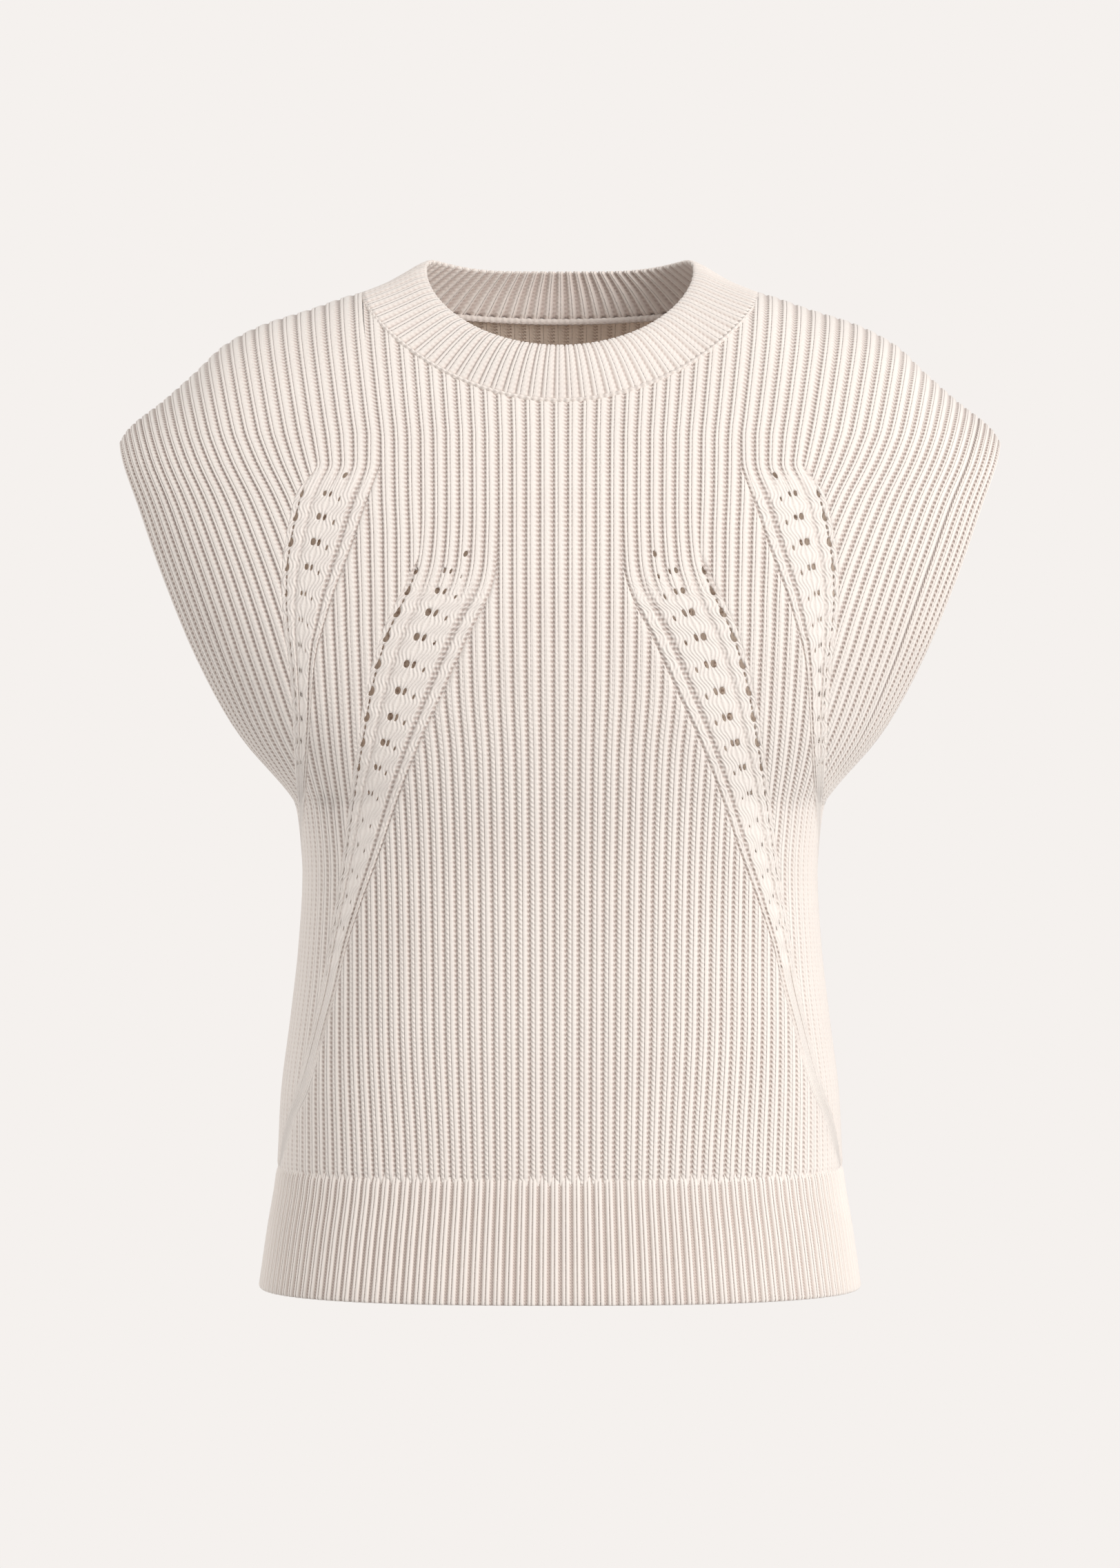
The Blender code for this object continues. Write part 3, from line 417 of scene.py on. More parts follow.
def even_rows(number, low, high, rule, side, step):
    """Heights of rows an equal length of cloth apart on each column, closer at both ends, and that length."""
    t = np.linspace(0, 1, 160)
    fine = low[:, None] + (high - low)[:, None] * (1 - (1 - t) ** 2)
    run = run_along(on_body(rule(number[:, None], fine), fine, side, 0.0))
    rows = int(run[:, -1].max() / step) + 3
    at = np.linspace(0, 1, rows)
    at = at - 0.5 * np.sin(2 * math.pi * at) / (2 * math.pi)
    height = np.stack([np.interp(at * s[-1], s, z) for s, z in zip(run, fine)])
    return height, at * run[:, -1:]


def meet(rule, number, line, low, high):
    """Highest place between low and high where each rib crosses a line, or low where it doesn't."""
    ladder = np.arange(low, high, 1.0)
    gap = rule(number[:, None], ladder[None]) - line(ladder)[None]
    crosses = (gap[:, :-1] > 0) != (gap[:, 1:] > 0)
    last = crosses.shape[1] - 1 - np.argmax(crosses[:, ::-1], axis=1)
    row = np.arange(len(number))
    found = ladder[last] + gap[row, last] / (gap[row, last] - gap[row, last + 1])
    return np.where(crosses.any(axis=1), found, low)


def knit_uv(number, row):
    """The yarn's own coordinates: the rib's number across and the stitch row along."""
    return np.stack(np.broadcast_arrays(number, row), axis=-1)


def drawn_flat(height):
    """How much of a furrow's depth the cloth's own weight takes away over the shoulders."""
    return SHOULDER_FLAT * ease(430, 490, height)


def rib_strip(first, last, rule, low, high, side, step, inside=False):
    """A strip of ribs: columns at rib numbers, rows along each. Ribs fade where a dart ends them, and the
    strip's borders are tucked under its neighbours'. low and high give (heights, whether a dart is there)."""
    number = rib_columns(first, last)
    if inside:
        number = np.hstack([number[:-1:3], number[-1]])
    tucked = [abs(end) < SIDE_RIB - 1 for end in (first, last)]
    if tucked[0]:
        number = np.hstack([first - STRIP_LAP, number])
    if tucked[1]:
        number = np.hstack([number, last + STRIP_LAP])
    columns = (number, *low(np.abs(number)), *high(np.abs(number)))
    long_enough = columns[3] - columns[1] > 3
    number, foot, foot_at_dart, top, top_at_dart = (column[long_enough] for column in columns)
    size = np.abs(number)
    sign = np.where(number < 0, -1.0, 1.0)
    height, run = even_rows(size, foot, top, rule, side, step)
    across = rule(size[:, None], height) * sign[:, None]
    whole = run[:, -1:]
    fade = np.where(foot_at_dart[:, None], ease(0, 5, run), 1.0)
    fade = fade * np.where(top_at_dart[:, None], ease(0, 8, whole - run), 1.0)
    fade = fade * np.where(size[:, None] > EDGE_RIB - 0.6, EDGE_STRENGTH, 1.0)
    stretched = 0.75 * ease(0.50, 0.85, np.abs(across)) * (1 - ease(225, 280, height))
    fade = fade * (1 - 0.7 * stretched)
    relief = FADED_RELIEF * (1 - fade) + fade * rib_relief(number[:, None], height)
    if inside:
        below = WALL - INNER_FURROW * relief
    else:
        below = FURROW * (1 - relief) * (1 - drawn_flat(height))
        below = below + HEM_SINK * (1 - ease(BAND_HEIGHT - HEM_LAP, BAND_HEIGHT + HEM_LAP, height))
        at_border = (foot_at_dart[:, None] & (run < 0.1)) | (top_at_dart[:, None] & (whole - run < 0.1))
        below = below + TUCK * at_border
    if tucked[0]:
        below[0] += TUCK
    if tucked[1]:
        below[-1] += TUCK
    return {
        "points": on_body(across, height, side, below),
        "uv": knit_uv(number[:, None], (run + foot[:, None]) / ROW),
        # furrow: how far down a furrow a point lies, which the yarn paints as shade; the painted shade fades
        # out over the shoulders
        "furrow": (1 - relief) * (1 - 2 * drawn_flat(height)),
        "lace": np.stack([stretched, 0 * height, 0 * height], axis=-1),
    }


def rolled(outer, inner, reach, steps=7):
    """Half an ellipse from an outer line of points to an inner one, bulging by the vectors of reach."""
    turn = np.linspace(0, math.pi, steps)[None, :, None]
    middle = (outer + inner)[:, None] / 2
    return middle + (outer - inner)[:, None] / 2 * np.cos(turn) + reach[:, None] * np.sin(turn)


RIM_DEPTH = FURROW * 0.55
RIM_REACH = 1.5  # how far the sleeve's edge and the hem's bulge out


def sleeve_rim(side, sign):
    """The sleeve's self-finished edge, rolled from the outside of the cloth to its inside."""
    height = np.linspace(ARMPIT_HEIGHT, TIP_HEIGHT, 90)
    outer = on_body(sign, height, side, RIM_DEPTH)
    inner = on_body(sign, height, side, WALL)
    reach = unit(outer - on_body(0.985 * sign, height, side, RIM_DEPTH)) * RIM_REACH
    points = rolled(outer, inner, reach).swapaxes(0, 1)
    uv = knit_uv(np.linspace(0.1, 0.4, 7)[:, None], height[None] / ROW)
    flip = (side == "front") != (sign > 0)
    # the furrow value gives the rolled edge a light, even painted shade
    return {"points": points, "uv": uv, "furrow": np.full(uv.shape[:2], 0.15), "flip": flip}


# The four corners of every face of a grid, as slices of its columns and rows.
CORNERS = (
    (slice(None, -1), slice(None, -1)), (slice(1, None), slice(None, -1)),
    (slice(1, None), slice(1, None)), (slice(None, -1), slice(1, None)),
)


def knit_piece(name, grids, finish, node):
    """One object from grids of points: faces between neighbouring columns and rows, a closed grid's last
    column joined to its first, and the faces that a grid leaves out for its holes not made. furrow tells the
    yarn how much shade to paint at a point; lace how far it is lace or stretched flat, how strongly its
    furrow is combed with painted shade, and its leaf lines."""
    parts = []
    first = 0
    for grid in grids:
        columns, rows = grid["points"].shape[:2]
        ids = first + np.arange(columns * rows).reshape(columns, rows)
        if grid.get("closed", False):
            ids[-1] = ids[0]
        if grid.get("closed_rows", False):
            ids[:, -1] = ids[:, 0]
        first += columns * rows
        keep = grid.get("keep", np.ones((columns - 1, rows - 1), bool))
        quads = np.stack([ids[c] for c in CORNERS], axis=-1)[keep]
        quad_uv = np.stack([grid["uv"][c] for c in CORNERS], axis=-2)[keep]
        if grid.get("flip", False):
            quads, quad_uv = quads[:, ::-1], quad_uv[:, ::-1]
        lace = grid.get("lace", np.zeros((columns, rows, 3))).reshape(-1, 3)
        parts.append((grid["points"].reshape(-1, 3), grid["furrow"].ravel(), lace, quads, quad_uv))
    points, furrows, laces, faces, uvs = map(np.concatenate, zip(*parts))
    used, faces = np.unique(faces, return_inverse=True)
    faces = faces.reshape(-1, 4)
    points = (points[used] - np.array([0, 0, ORIGIN_HEIGHT])) * 0.001
    mesh = bpy.data.meshes.new(name)
    mesh.vertices.add(len(points))
    mesh.vertices.foreach_set("co", points.ravel())
    mesh.loops.add(faces.size)
    mesh.loops.foreach_set("vertex_index", faces.ravel().astype(np.int32))
    mesh.polygons.add(len(faces))
    mesh.polygons.foreach_set("loop_start", np.arange(0, faces.size, 4, dtype=np.int32))
    mesh.update(calc_edges=True)
    layer = mesh.uv_layers.new(name="knit")
    layer.data.foreach_set("uv", uvs.ravel())
    mesh.attributes.new("furrow", "FLOAT", "POINT").data.foreach_set("value", furrows[used])
    mesh.attributes.new("lace", "FLOAT_VECTOR", "POINT").data.foreach_set("vector", laces[used].ravel())
    mesh.validate()
    mesh.shade_smooth()
    mesh.materials.append(finish)
    piece = new_object(name, mesh)
    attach(piece, "root")
    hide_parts(node)
    return piece


def cotton_yarn(name, colours, upper, lower, slant, depth):
    """Thick matt cotton: its own colour on ridges, and a deeper colour for the shade it paints in furrows.
    upper and lower say how strongly the stitches show across a rib: place, strength of the twist, of the thin
    line, of the comb in the furrow. slant turns the twist, and depth is the stitches' relief in metres."""
    material = bpy.data.materials.new(name)
    material.use_nodes = True
    tree = material.node_tree
    shader = tree.nodes["Principled BSDF"]

    def maths(operation, *values):
        return add_node(tree, "Math", dict(enumerate(values)), operation=operation).outputs[0]

    def scaled(value, factor, plus=0.0):
        return maths("MULTIPLY_ADD", value, factor, plus)

    def noise(scale, detail):
        return add_node(tree, "TexNoise", {"Vector": where, "Scale": scale, "Detail": detail}).outputs[0]

    def wave_of(rows):
        return maths("SINE", scaled(rows, 2 * math.pi))

    uv = add_node(tree, "UVMap", uv_map="knit")
    place = add_node(tree, "SeparateXYZ", {0: uv.outputs[0]})
    phase = maths("FRACT", maths("ADD", place.outputs[0], 0.5))
    ramps = []
    for stops in (upper, lower):
        ramp = add_node(tree, "ValToRGB", {0: phase})
        while len(ramp.color_ramp.elements) < len(stops):
            ramp.color_ramp.elements.new(0.5)
        for element, (at, *strengths) in zip(ramp.color_ramp.elements, stops):
            element.position = at
            element.color = (*strengths, 1.0)
        ramps.append(ramp.outputs[0])
    where = add_node(tree, "TexCoord").outputs["Object"]
    height = add_node(tree, "SeparateXYZ", {0: where}).outputs[2]
    upness = add_node(tree, "MapRange", {0: height, 1: -0.27, 2: -0.15}).outputs[0]
    mask = add_node(tree, "Mix", {0: upness, 6: ramps[1], 7: ramps[0]}, data_type="RGBA")
    strength = add_node(tree, "SeparateColor", {0: mask.outputs[2]})
    lace = add_node(tree, "Attribute", attribute_name="lace")
    lace = add_node(tree, "SeparateXYZ", {0: lace.outputs["Vector"]})
    plain = maths("SUBTRACT", 1.0, lace.outputs[0])
    rows = scaled(noise(70.0, 1.0), 0.5, place.outputs[1])
    wave = wave_of(scaled(phase, slant, rows))
    row_wave = wave_of(rows)
    twisted = scaled(wave, scaled(strength.outputs[0], plain))
    comb = scaled(strength.outputs[2], scaled(wave, 0.5, 0.5))
    comb = scaled(comb, plain)
    comb = scaled(lace.outputs[1], scaled(row_wave, 0.45, 0.5), comb)
    line = scaled(strength.outputs[1], plain)
    line = scaled(line, scaled(row_wave, 0.3, 0.7))
    leaf = scaled(maths("SINE", lace.outputs[2]), lace.outputs[0])
    fibre = noise(900.0, 3.0)
    blotch = noise(30.0, 2.0)
    relief = 0.0
    for part, weight in ((fibre, 0.5), (twisted, 0.6), (comb, -1.0), (line, -1.0), (leaf, 0.24)):
        relief = scaled(part, weight, relief)
    bump = add_node(tree, "Bump", {"Height": relief, "Strength": 1.0, "Distance": depth})
    furrow = add_node(tree, "Attribute", attribute_name="furrow").outputs["Fac"]
    # Painted shade: the furrow's depth, the comb between the stitches and the thin line darken the colour.
    # Painted highlight: the twist and the leaf lines lighten it where they stand proud. The blotch is the
    # yarn's own uneven tone.
    shaded = (blotch, 0.12), (furrow, 0.20), (comb, 0.80), (line, 0.40), (twisted, -0.10), (leaf, -0.12)
    shade = 0.0
    for part, weight in shaded:
        shade = scaled(part, weight, shade)
    # The yarn's own colour, and the colour of the shade painted into it
    light, painted_shade_colour = map(linear, colours)
    colour = add_node(tree, "Mix", {0: shade, 6: light, 7: painted_shade_colour}, data_type="RGBA", clamp_factor=True)
    tree.links.new(colour.outputs[2], shader.inputs["Base Color"])
    tree.links.new(bump.outputs[0], shader.inputs["Normal"])
    for setting, value in (
        ("Roughness", 0.88), ("IOR", 1.46), ("Specular IOR Level", 0.25), ("Sheen Weight", 0.30),
        ("Sheen Roughness", 0.5),
    ):
        shader.inputs[setting].default_value = value
    return material


# Stitches across a rib, by phase: strength of the twist, of the thin line and of the comb in the furrow. The
# line and the comb are painted shade as well as relief, the twist a faint painted highlight.
RIB_UPPER = ((0, 0, 0, 1), (0.08, 0, 0, 1), (0.15, 0, 0, 0.1), (0.31, 0, 0, 0),
             (0.345, 0, 0.8, 0), (0.38, 0, 0, 0), (0.62, 0, 0, 0), (0.72, 0.6, 0, 0.1),
             (0.8, 0.8, 0, 0.8), (0.9, 0.3, 0, 1))
RIB_LOWER = ((0, 0, 0, 1), (0.08, 0.2, 0, 0.9), (0.15, 0.7, 0, 0.2), (0.34, 0.6, 0, 0),
             (0.42, 0.2, 0, 0), (0.46, 0, 1, 0), (0.5, 0, 0, 0), (0.76, 0.1, 0, 0),
             (0.84, 0.3, 0, 0.6), (0.9, 0.2, 0, 1))
# Each yarn's colour on a ridge, then the darker colour it paints as shade in furrows. The wrong side's pair
# is the cream darkened and warmed: painted shade for the inside of the garment, where little light reaches.
CREAM = ("F6EDE5", "BCA9A0")
INSIDE_CREAM_PAINTED_SHADE = ("F6E6D6", "BFA594")
half_cardigan = cotton_yarn("cream_cotton_half_cardigan_rib", CREAM, RIB_UPPER, RIB_LOWER, 1.3, 0.0006)
wrong_side = cotton_yarn("cream_cotton_rib_wrong_side_painted_shade", INSIDE_CREAM_PAINTED_SHADE, RIB_UPPER, RIB_LOWER, 1.3, 0.0005)


DART_REACH = {"inner": (BAND_HEIGHT, 430), "outer": (206.0, 440)}  # heights where ribs can meet a dart
OVERLAP = 0.8  # how far the ribs beside a dart reach over its borders


def at_dart(name, line, rule):
    """Heights where ribs run into a dart's border, which they overlap a little, and whether they do."""
    low, high = DART_REACH[name]

    def border(height):
        extra = eyelet_margin(name, height) - OVERLAP if line == "eyelets" else OVERLAP
        return dart_edge(name, line, height, extra)

    def heights(size):
        found = meet(rule, size, border, low, high)
        return found, found > low + 0.01
    return heights


def at_hem(size):
    """The height where ribs start, a little below the line between them and the hem band's."""
    return np.full(len(size), BAND_HEIGHT - HEM_LAP), np.zeros(len(size), bool)


def at_top(side):
    """Heights where ribs meet the panel's upper border."""
    def heights(size):
        return top_height(drawn_in(size, 500.0) / EDGE_RIB, side), np.zeros(len(size), bool)
    return heights


def front_strips(step, inside=False):
    """Every strip of ribs of the front, from the centre outwards, on both halves."""
    past_inner = at_dart("inner", "eyelets", side_rib)
    past_outer = at_dart("outer", "eyelets", cap_rib)
    runs = (
        # first and last rib, rule, foot, top
        (10.5, 13.5, side_rib, past_inner, at_top("front")),
        (13.5, SIDE_RIB, side_rib, past_inner, at_dart("outer", "inner_side", side_rib)),
        (18.5, EDGE_RIB, cap_rib, past_outer, at_top("front")),
        (4.5, 34.5, centre_rib, at_hem, at_dart("inner", "inner_side", centre_rib)),
    )
    strips = [rib_strip(-4.5, 4.5, centre_rib, at_hem, at_top("front"), "front", step, inside)]
    for first, last, rule, low, high in runs:
        for ends in ((first, last), (-last, -first)):
            strips.append(rib_strip(*ends, rule, low, high, "front", step, inside))
    return strips


front_outside = knit_piece(
    "front_ribs",
    front_strips(7.2) + [sleeve_rim("front", 1), sleeve_rim("front", -1)],
    half_cardigan, "front_panel",
)
front_inside = knit_piece("front_wrong_side", [
    dict(strip, flip=True) for strip in front_strips(14.0, inside=True)
], wrong_side, "front_panel")

# --------------------
# The four lace darts, knitted in one with the front: the eyelets, a raised double rib, a field of leaf
# stitches with pairs of small holes, and two more ribs. They are transferred stitches, so all holes are open.

# Relief and comb across a dart, by the share from its eyelets to its inner side. The comb is painted shade
# between the stitches in its furrows.
DART_RELIEF = ((-0.2, 0, 0.02, 0.045, 0.075, 0.093, 0.115, 0.14, 0.165, 0.185, 0.215, 0.245, 0.29, 0.42,
                0.62, 0.715, 0.745, 0.77, 0.805, 0.825, 0.85, 0.875, 0.895, 0.915, 0.94, 0.97, 1),
               (0.6, 0.65, 0.8, 0.98, 0.96, 0.78, 1, 0.94, 0.6, 0.4, 0.4, 0.7, 0.9, 0.94, 0.94, 0.9,
                0.55, 0.22, 0.22, 0.6, 0.98, 0.96, 0.72, 1, 0.9, 0.2, 0))
DART_COMB = ((-0.03, 0, 0.03, 0.155, 0.175, 0.21, 0.24, 0.72, 0.76, 0.81, 0.83, 0.935, 0.97),
             (0, 0.5, 0, 0, 0.3, 0.3, 0, 0, 0.9, 0.9, 0, 0, 1))
# The holes of each repeat of the lace, at the dart's head and at its foot: share across the dart, half width
# and half height; then the drop below the eyelet, and how much the hole leans with the dart.
LACE_HOLES = {
    "eyelet": ((0, 2.05, 2.6), (0, 0.6, 1.8), 0, 0.5),
    "round": ((0.375, 1.6, 1.95), (0.32, 0.38, 1.2), 0, 0.4),
    "slanted": ((0.47, 1, 1.85), (0.4, 0.3, 1.2), 0.5, 1),
    "slit": ((0.62, 0.65, 1.4), (0.55, 0.35, 1), 3.2, 1),
    "upper_gap": ((0.01, 0.55, 1.3), (0.01, 0.35, 1), 5.3, 0.9),
    "lower_gap": ((0.01, 0.45, 1.1), (0.01, 0.32, 0.9), 8.7, 0.9),
}
RIB_END = (1.15, 0.75)  # where the end of a rib covers an eyelet, in half widths and half heights
LACE_RANGES = {
    # lowest height of each kind of hole above; heights between which the holes grow to their full size
    "inner": ((145, 185, 245, 185, 165, 225), (245, 300)),
    "outer": ((262, 245, 245, 325, 300, 340), (345, 395)),
}
# Height, share across, half width and half height of the topmost small hole.
HEAD_HOLES = {"inner": (381.0, 0.55, 1.15, 1.6), "outer": (421.9, 0.52, 1.15, 1.6)}
FOOT_RELIEF = 0.70  # the cloth's relief where a dart runs out at its foot, and how far the foot sinks
FOOT_SINK = 0.8
HOLE_SINK = 0.3
ROW_STEPS = (3.0, 0.95, 5.0)  # height of the grid's rows below the lace, in it and above it
BORDERS = ([-1.0], [0.35, 0.7, 1.0, 1.3])  # extra columns at the inner side and past the eyelets


def dart_cloth(name, height):
    """Cloth from the centre front to a dart's eyelets and to its inner side."""
    length = edge_length(height)
    return [dart_edge(name, line, height) * length for line in ("eyelets", "inner_side")]


def dart_holes(name):
    """Every hole of a dart: kind, place in cloth from the centre, height, half width and height, slope."""
    run = DART_RUNS[name]
    lowest, growth = LACE_RANGES[name]
    wanted = [("slanted", *HEAD_HOLES[name], 1.0)]
    for eyelet in run["eyelets"]:
        for (kind, (head, foot, drop, lean)), low in zip(LACE_HOLES.items(), lowest):
            z = eyelet - drop
            if z > low:
                grown = float(ease(*growth, z)) * (1 - 0.5 * float(ease(-24, 0, z - run["eyelets"][0])))
                sizes = [a * grown + b * (1 - grown) for a, b in zip(head, foot)]
                wanted.append((kind, z, *sizes, lean))
    places = []
    for kind, z, share, wide, tall, lean in wanted:
        lines = []
        for at in (z - 2, z, z + 2):
            outer_line, inner_line = dart_cloth(name, at)
            lines.append(float(outer_line - share * (outer_line - inner_line)))
        places.append((kind, lines[1], z, wide, tall, lean * (lines[2] - lines[0]) / 4))
    return places


def cut_holes(holes, cloth, height):
    """The grid with the corners round each hole moved onto its edge, the faces that lie in holes, and how far
    each corner is from a hole's middle, in its radii. The end of a rib rounds off one corner of an eyelet."""
    far = np.full(height.shape, 9.0)
    snapped = np.stack([cloth, height])
    for kind, middle, z, wide, tall, slope in holes:
        v = (height - z) / tall
        u = (cloth - middle - slope * (height - z)) / wide
        radius = np.maximum(np.hypot(u, v), 0.01)
        to_rib = np.maximum(np.hypot(u - RIB_END[0], v - RIB_END[1]) / RIB_END[0], 0.01)
        by_rib = (kind == "eyelet") & (2 - to_rib > radius)
        distance = np.where(by_rib, 2 - to_rib, radius)
        on_u = np.where(by_rib, RIB_END[0] + (u - RIB_END[0]) / to_rib, u / radius)
        on_v = np.where(by_rib, RIB_END[1] + (v - RIB_END[1]) / to_rib, v / radius)
        edge = np.stack([middle + slope * on_v * tall + on_u * wide, z + on_v * tall])
        snapped = np.where(distance < far, edge, snapped)
        far = np.minimum(far, distance)
    hole = np.mean([far[c] for c in CORNERS], axis=0) < 1
    beside_hole = np.zeros(far.shape, bool)
    beside_cloth = np.zeros(far.shape, bool)
    for corner in CORNERS:
        beside_hole[corner] |= hole
        beside_cloth[corner] |= ~hole
    on_edge = beside_hole & beside_cloth & (far > 0.3) & (far < 1.9)
    return *np.where(on_edge, snapped, np.stack([cloth, height])), hole, far


def dart_strip(name, sign):
    """A dart from the neck or shoulder to its foot. Its columns are the ribs above it, which bend into the
    dart's own lines where those lie further out."""
    run = DART_RUNS[name]
    first, last = run["ribs"]
    foot, lace_top = run["foot"], run["lace_top"]
    number = rib_columns(*sorted((sign * first, sign * last)))
    before, after = BORDERS if sign > 0 else (BORDERS[1][::-1], BORDERS[0])
    aside = np.hstack([before, 0 * number, after])[:, None]
    number = np.pad(number, (len(before), len(after)), mode="edge")
    size = np.abs(number)

    def place(size_of, height):
        """Smooth maximum of the rib above and the dart's line, as cloth, and how much it is the rib."""
        part = (last - size_of) / (last - first)
        rib = run["rule"](size_of, height) * edge_length(height)
        outer_line, inner_line = dart_cloth(name, height)
        gap = rib - outer_line + part * (outer_line - inner_line)
        softened = (np.sqrt(gap**2 + 6.0) - np.abs(gap)) / 2
        softened = softened * (1 - ease(run["head"] - 6, run["head"] + 18, height))
        return rib - np.minimum(gap, 0) + softened, ease(-9.0, 2.0, gap)

    def across(size_of, height):
        return place(size_of, height)[0] / edge_length(height)

    holes = dart_holes(name)
    lace_low = min(hole[2] for hole in holes) - 4
    below_lace = np.arange(foot, lace_low, ROW_STEPS[0])
    low_rows = np.hstack([below_lace, np.arange(lace_low, lace_top, ROW_STEPS[1])])
    low_rows = np.broadcast_to(low_rows, (len(size), len(low_rows)))
    top, _ = at_top("front")(size)
    upper, upper_run = even_rows(size, np.full(len(size), lace_top), top, across, "front", ROW_STEPS[2])
    height = np.hstack([low_rows, upper])
    over_height = np.hstack([0 * low_rows, lace_top + upper_run - upper])
    cloth, ribness = place(size[:, None], height)
    cloth = cloth + np.where(aside > 0, aside * eyelet_margin(name, height), aside)
    cloth, height, hole, far = cut_holes(holes, cloth, height)

    eyelet_cloth, inner_cloth = dart_cloth(name, height)
    width = eyelet_cloth - inner_cloth
    in_dart = np.clip((eyelet_cloth - cloth) / np.maximum(width, 0.5), -0.2, 1)
    repeat = np.interp(height, run["eyelets"][::-1], np.arange(len(run["eyelets"])))
    aside_of_lace = (0.42 - in_dart) * width
    leaf = (aside_of_lace + 1.5 * np.tanh(aside_of_lace / 3) * np.cos(2 * math.pi * repeat)) / 2.0
    fade_foot = ease(foot + 10, foot + 130, height)
    dart = FOOT_RELIEF + (np.interp(in_dart, *DART_RELIEF) - FOOT_RELIEF) * fade_foot
    relief = ribness * rib_relief(number[:, None], height) + (1 - ribness) * dart
    # comb: painted shade between the stitches of the dart's furrows, fading towards its foot
    combed = np.where(in_dart > 0.5, fade_foot, 0.4 + 0.6 * fade_foot)
    comb = (1 - ribness) * np.interp(in_dart, *DART_COMB) * combed
    below = FURROW * (1 - relief) * (1 - drawn_flat(height))
    below = below + HOLE_SINK * (1 - ease(1.0, 1.3, far))
    below = below + TUCK * ((aside < 0) | (aside > 1.2))
    below = below + FOOT_SINK * (1 - ease(foot, foot + 14, height))
    # furrow: how far down a furrow a point lies, which the yarn paints as shade
    return {
        "points": on_body(cloth / edge_length(height) * sign, height, "front", below),
        "uv": knit_uv(number[:, None], (height + over_height) / ROW),
        "keep": ~hole, "furrow": np.clip(1 - relief, 0, 1) * (1 - 2 * drawn_flat(height)),
        "lace": np.stack([1 - ribness, comb, 2 * math.pi * leaf], axis=-1),
    }


# Flat size and area of each dart with the ribs above it, in metres: measured along the cloth.
DART_CUTS = {"inner": ((0.049, 0.468), 0.0117), "outer": ((0.042, 0.402), 0.0091)}
for dart_name, (cut, cut_area) in DART_CUTS.items():
    for hand, sign in (("right", 1), ("left", -1)):
        dart_piece = knit_piece(
            "lace_dart_" + dart_name + "_" + hand, [dart_strip(dart_name, sign)],
            half_cardigan, "front_panel",
        )
        cloth_thickness = dart_piece.modifiers.new("two_layers_of_yarn", "SOLIDIFY")
        cloth_thickness.thickness = 0.0014
        cloth_thickness.offset = -1.0

# --------------------
# The back panel and its half of the cap sleeves: the same rib, running unbroken from the hem band over the
# shoulders. It wasn't shown, apart from its inside at the neck.


def across_rib(number, height):
    """Ribs at even shares of the width, which meet the front's at the shoulder line."""
    return drawn_by(LACE_PULL * ease(390, 480, height), number) / EDGE_RIB


def back_strip(step, inside=False):
    return rib_strip(-EDGE_RIB, EDGE_RIB, across_rib, at_hem, at_top("back"), "back", step, inside)


back_outside = knit_piece("back_ribs", [
    dict(back_strip(7.8), flip=True), sleeve_rim("back", 1), sleeve_rim("back", -1),
], half_cardigan, "back_panel")
back_inside = knit_piece("back_wrong_side", [
    back_strip(14.0, inside=True),
], wrong_side, "back_panel")

# --------------------
# The two hem bands: a closer 2x1 rib of the same yarn, two smooth columns and a wide textured furrow,
# knitted first. Their lower edge is the cast-on, rolled a little; at the top their ribs run into the body's.

HEM_RIBS = 40
HEM_PHASES = (0, 0.07, 0.14, 0.19, 0.26, 0.38, 0.45, 0.49, 0.53, 0.61, 0.74, 0.81, 0.86, 0.93)
HEM_RELIEF = ((0, 0.14, 0.19, 0.26, 0.38, 0.45, 0.49, 0.53, 0.61, 0.74, 0.81, 0.86, 1),
              (0.05, 0.12, 0.65, 0.95, 1, 0.85, 0.5, 0.85, 1, 0.95, 0.65, 0.12, 0.05))
HEM_ROW = 1.5
HEM_FURROW = 1.6
HEM_INNER_FURROW = 0.7
HEM_EDGE = 1.6  # height where the hem's rolled edge starts


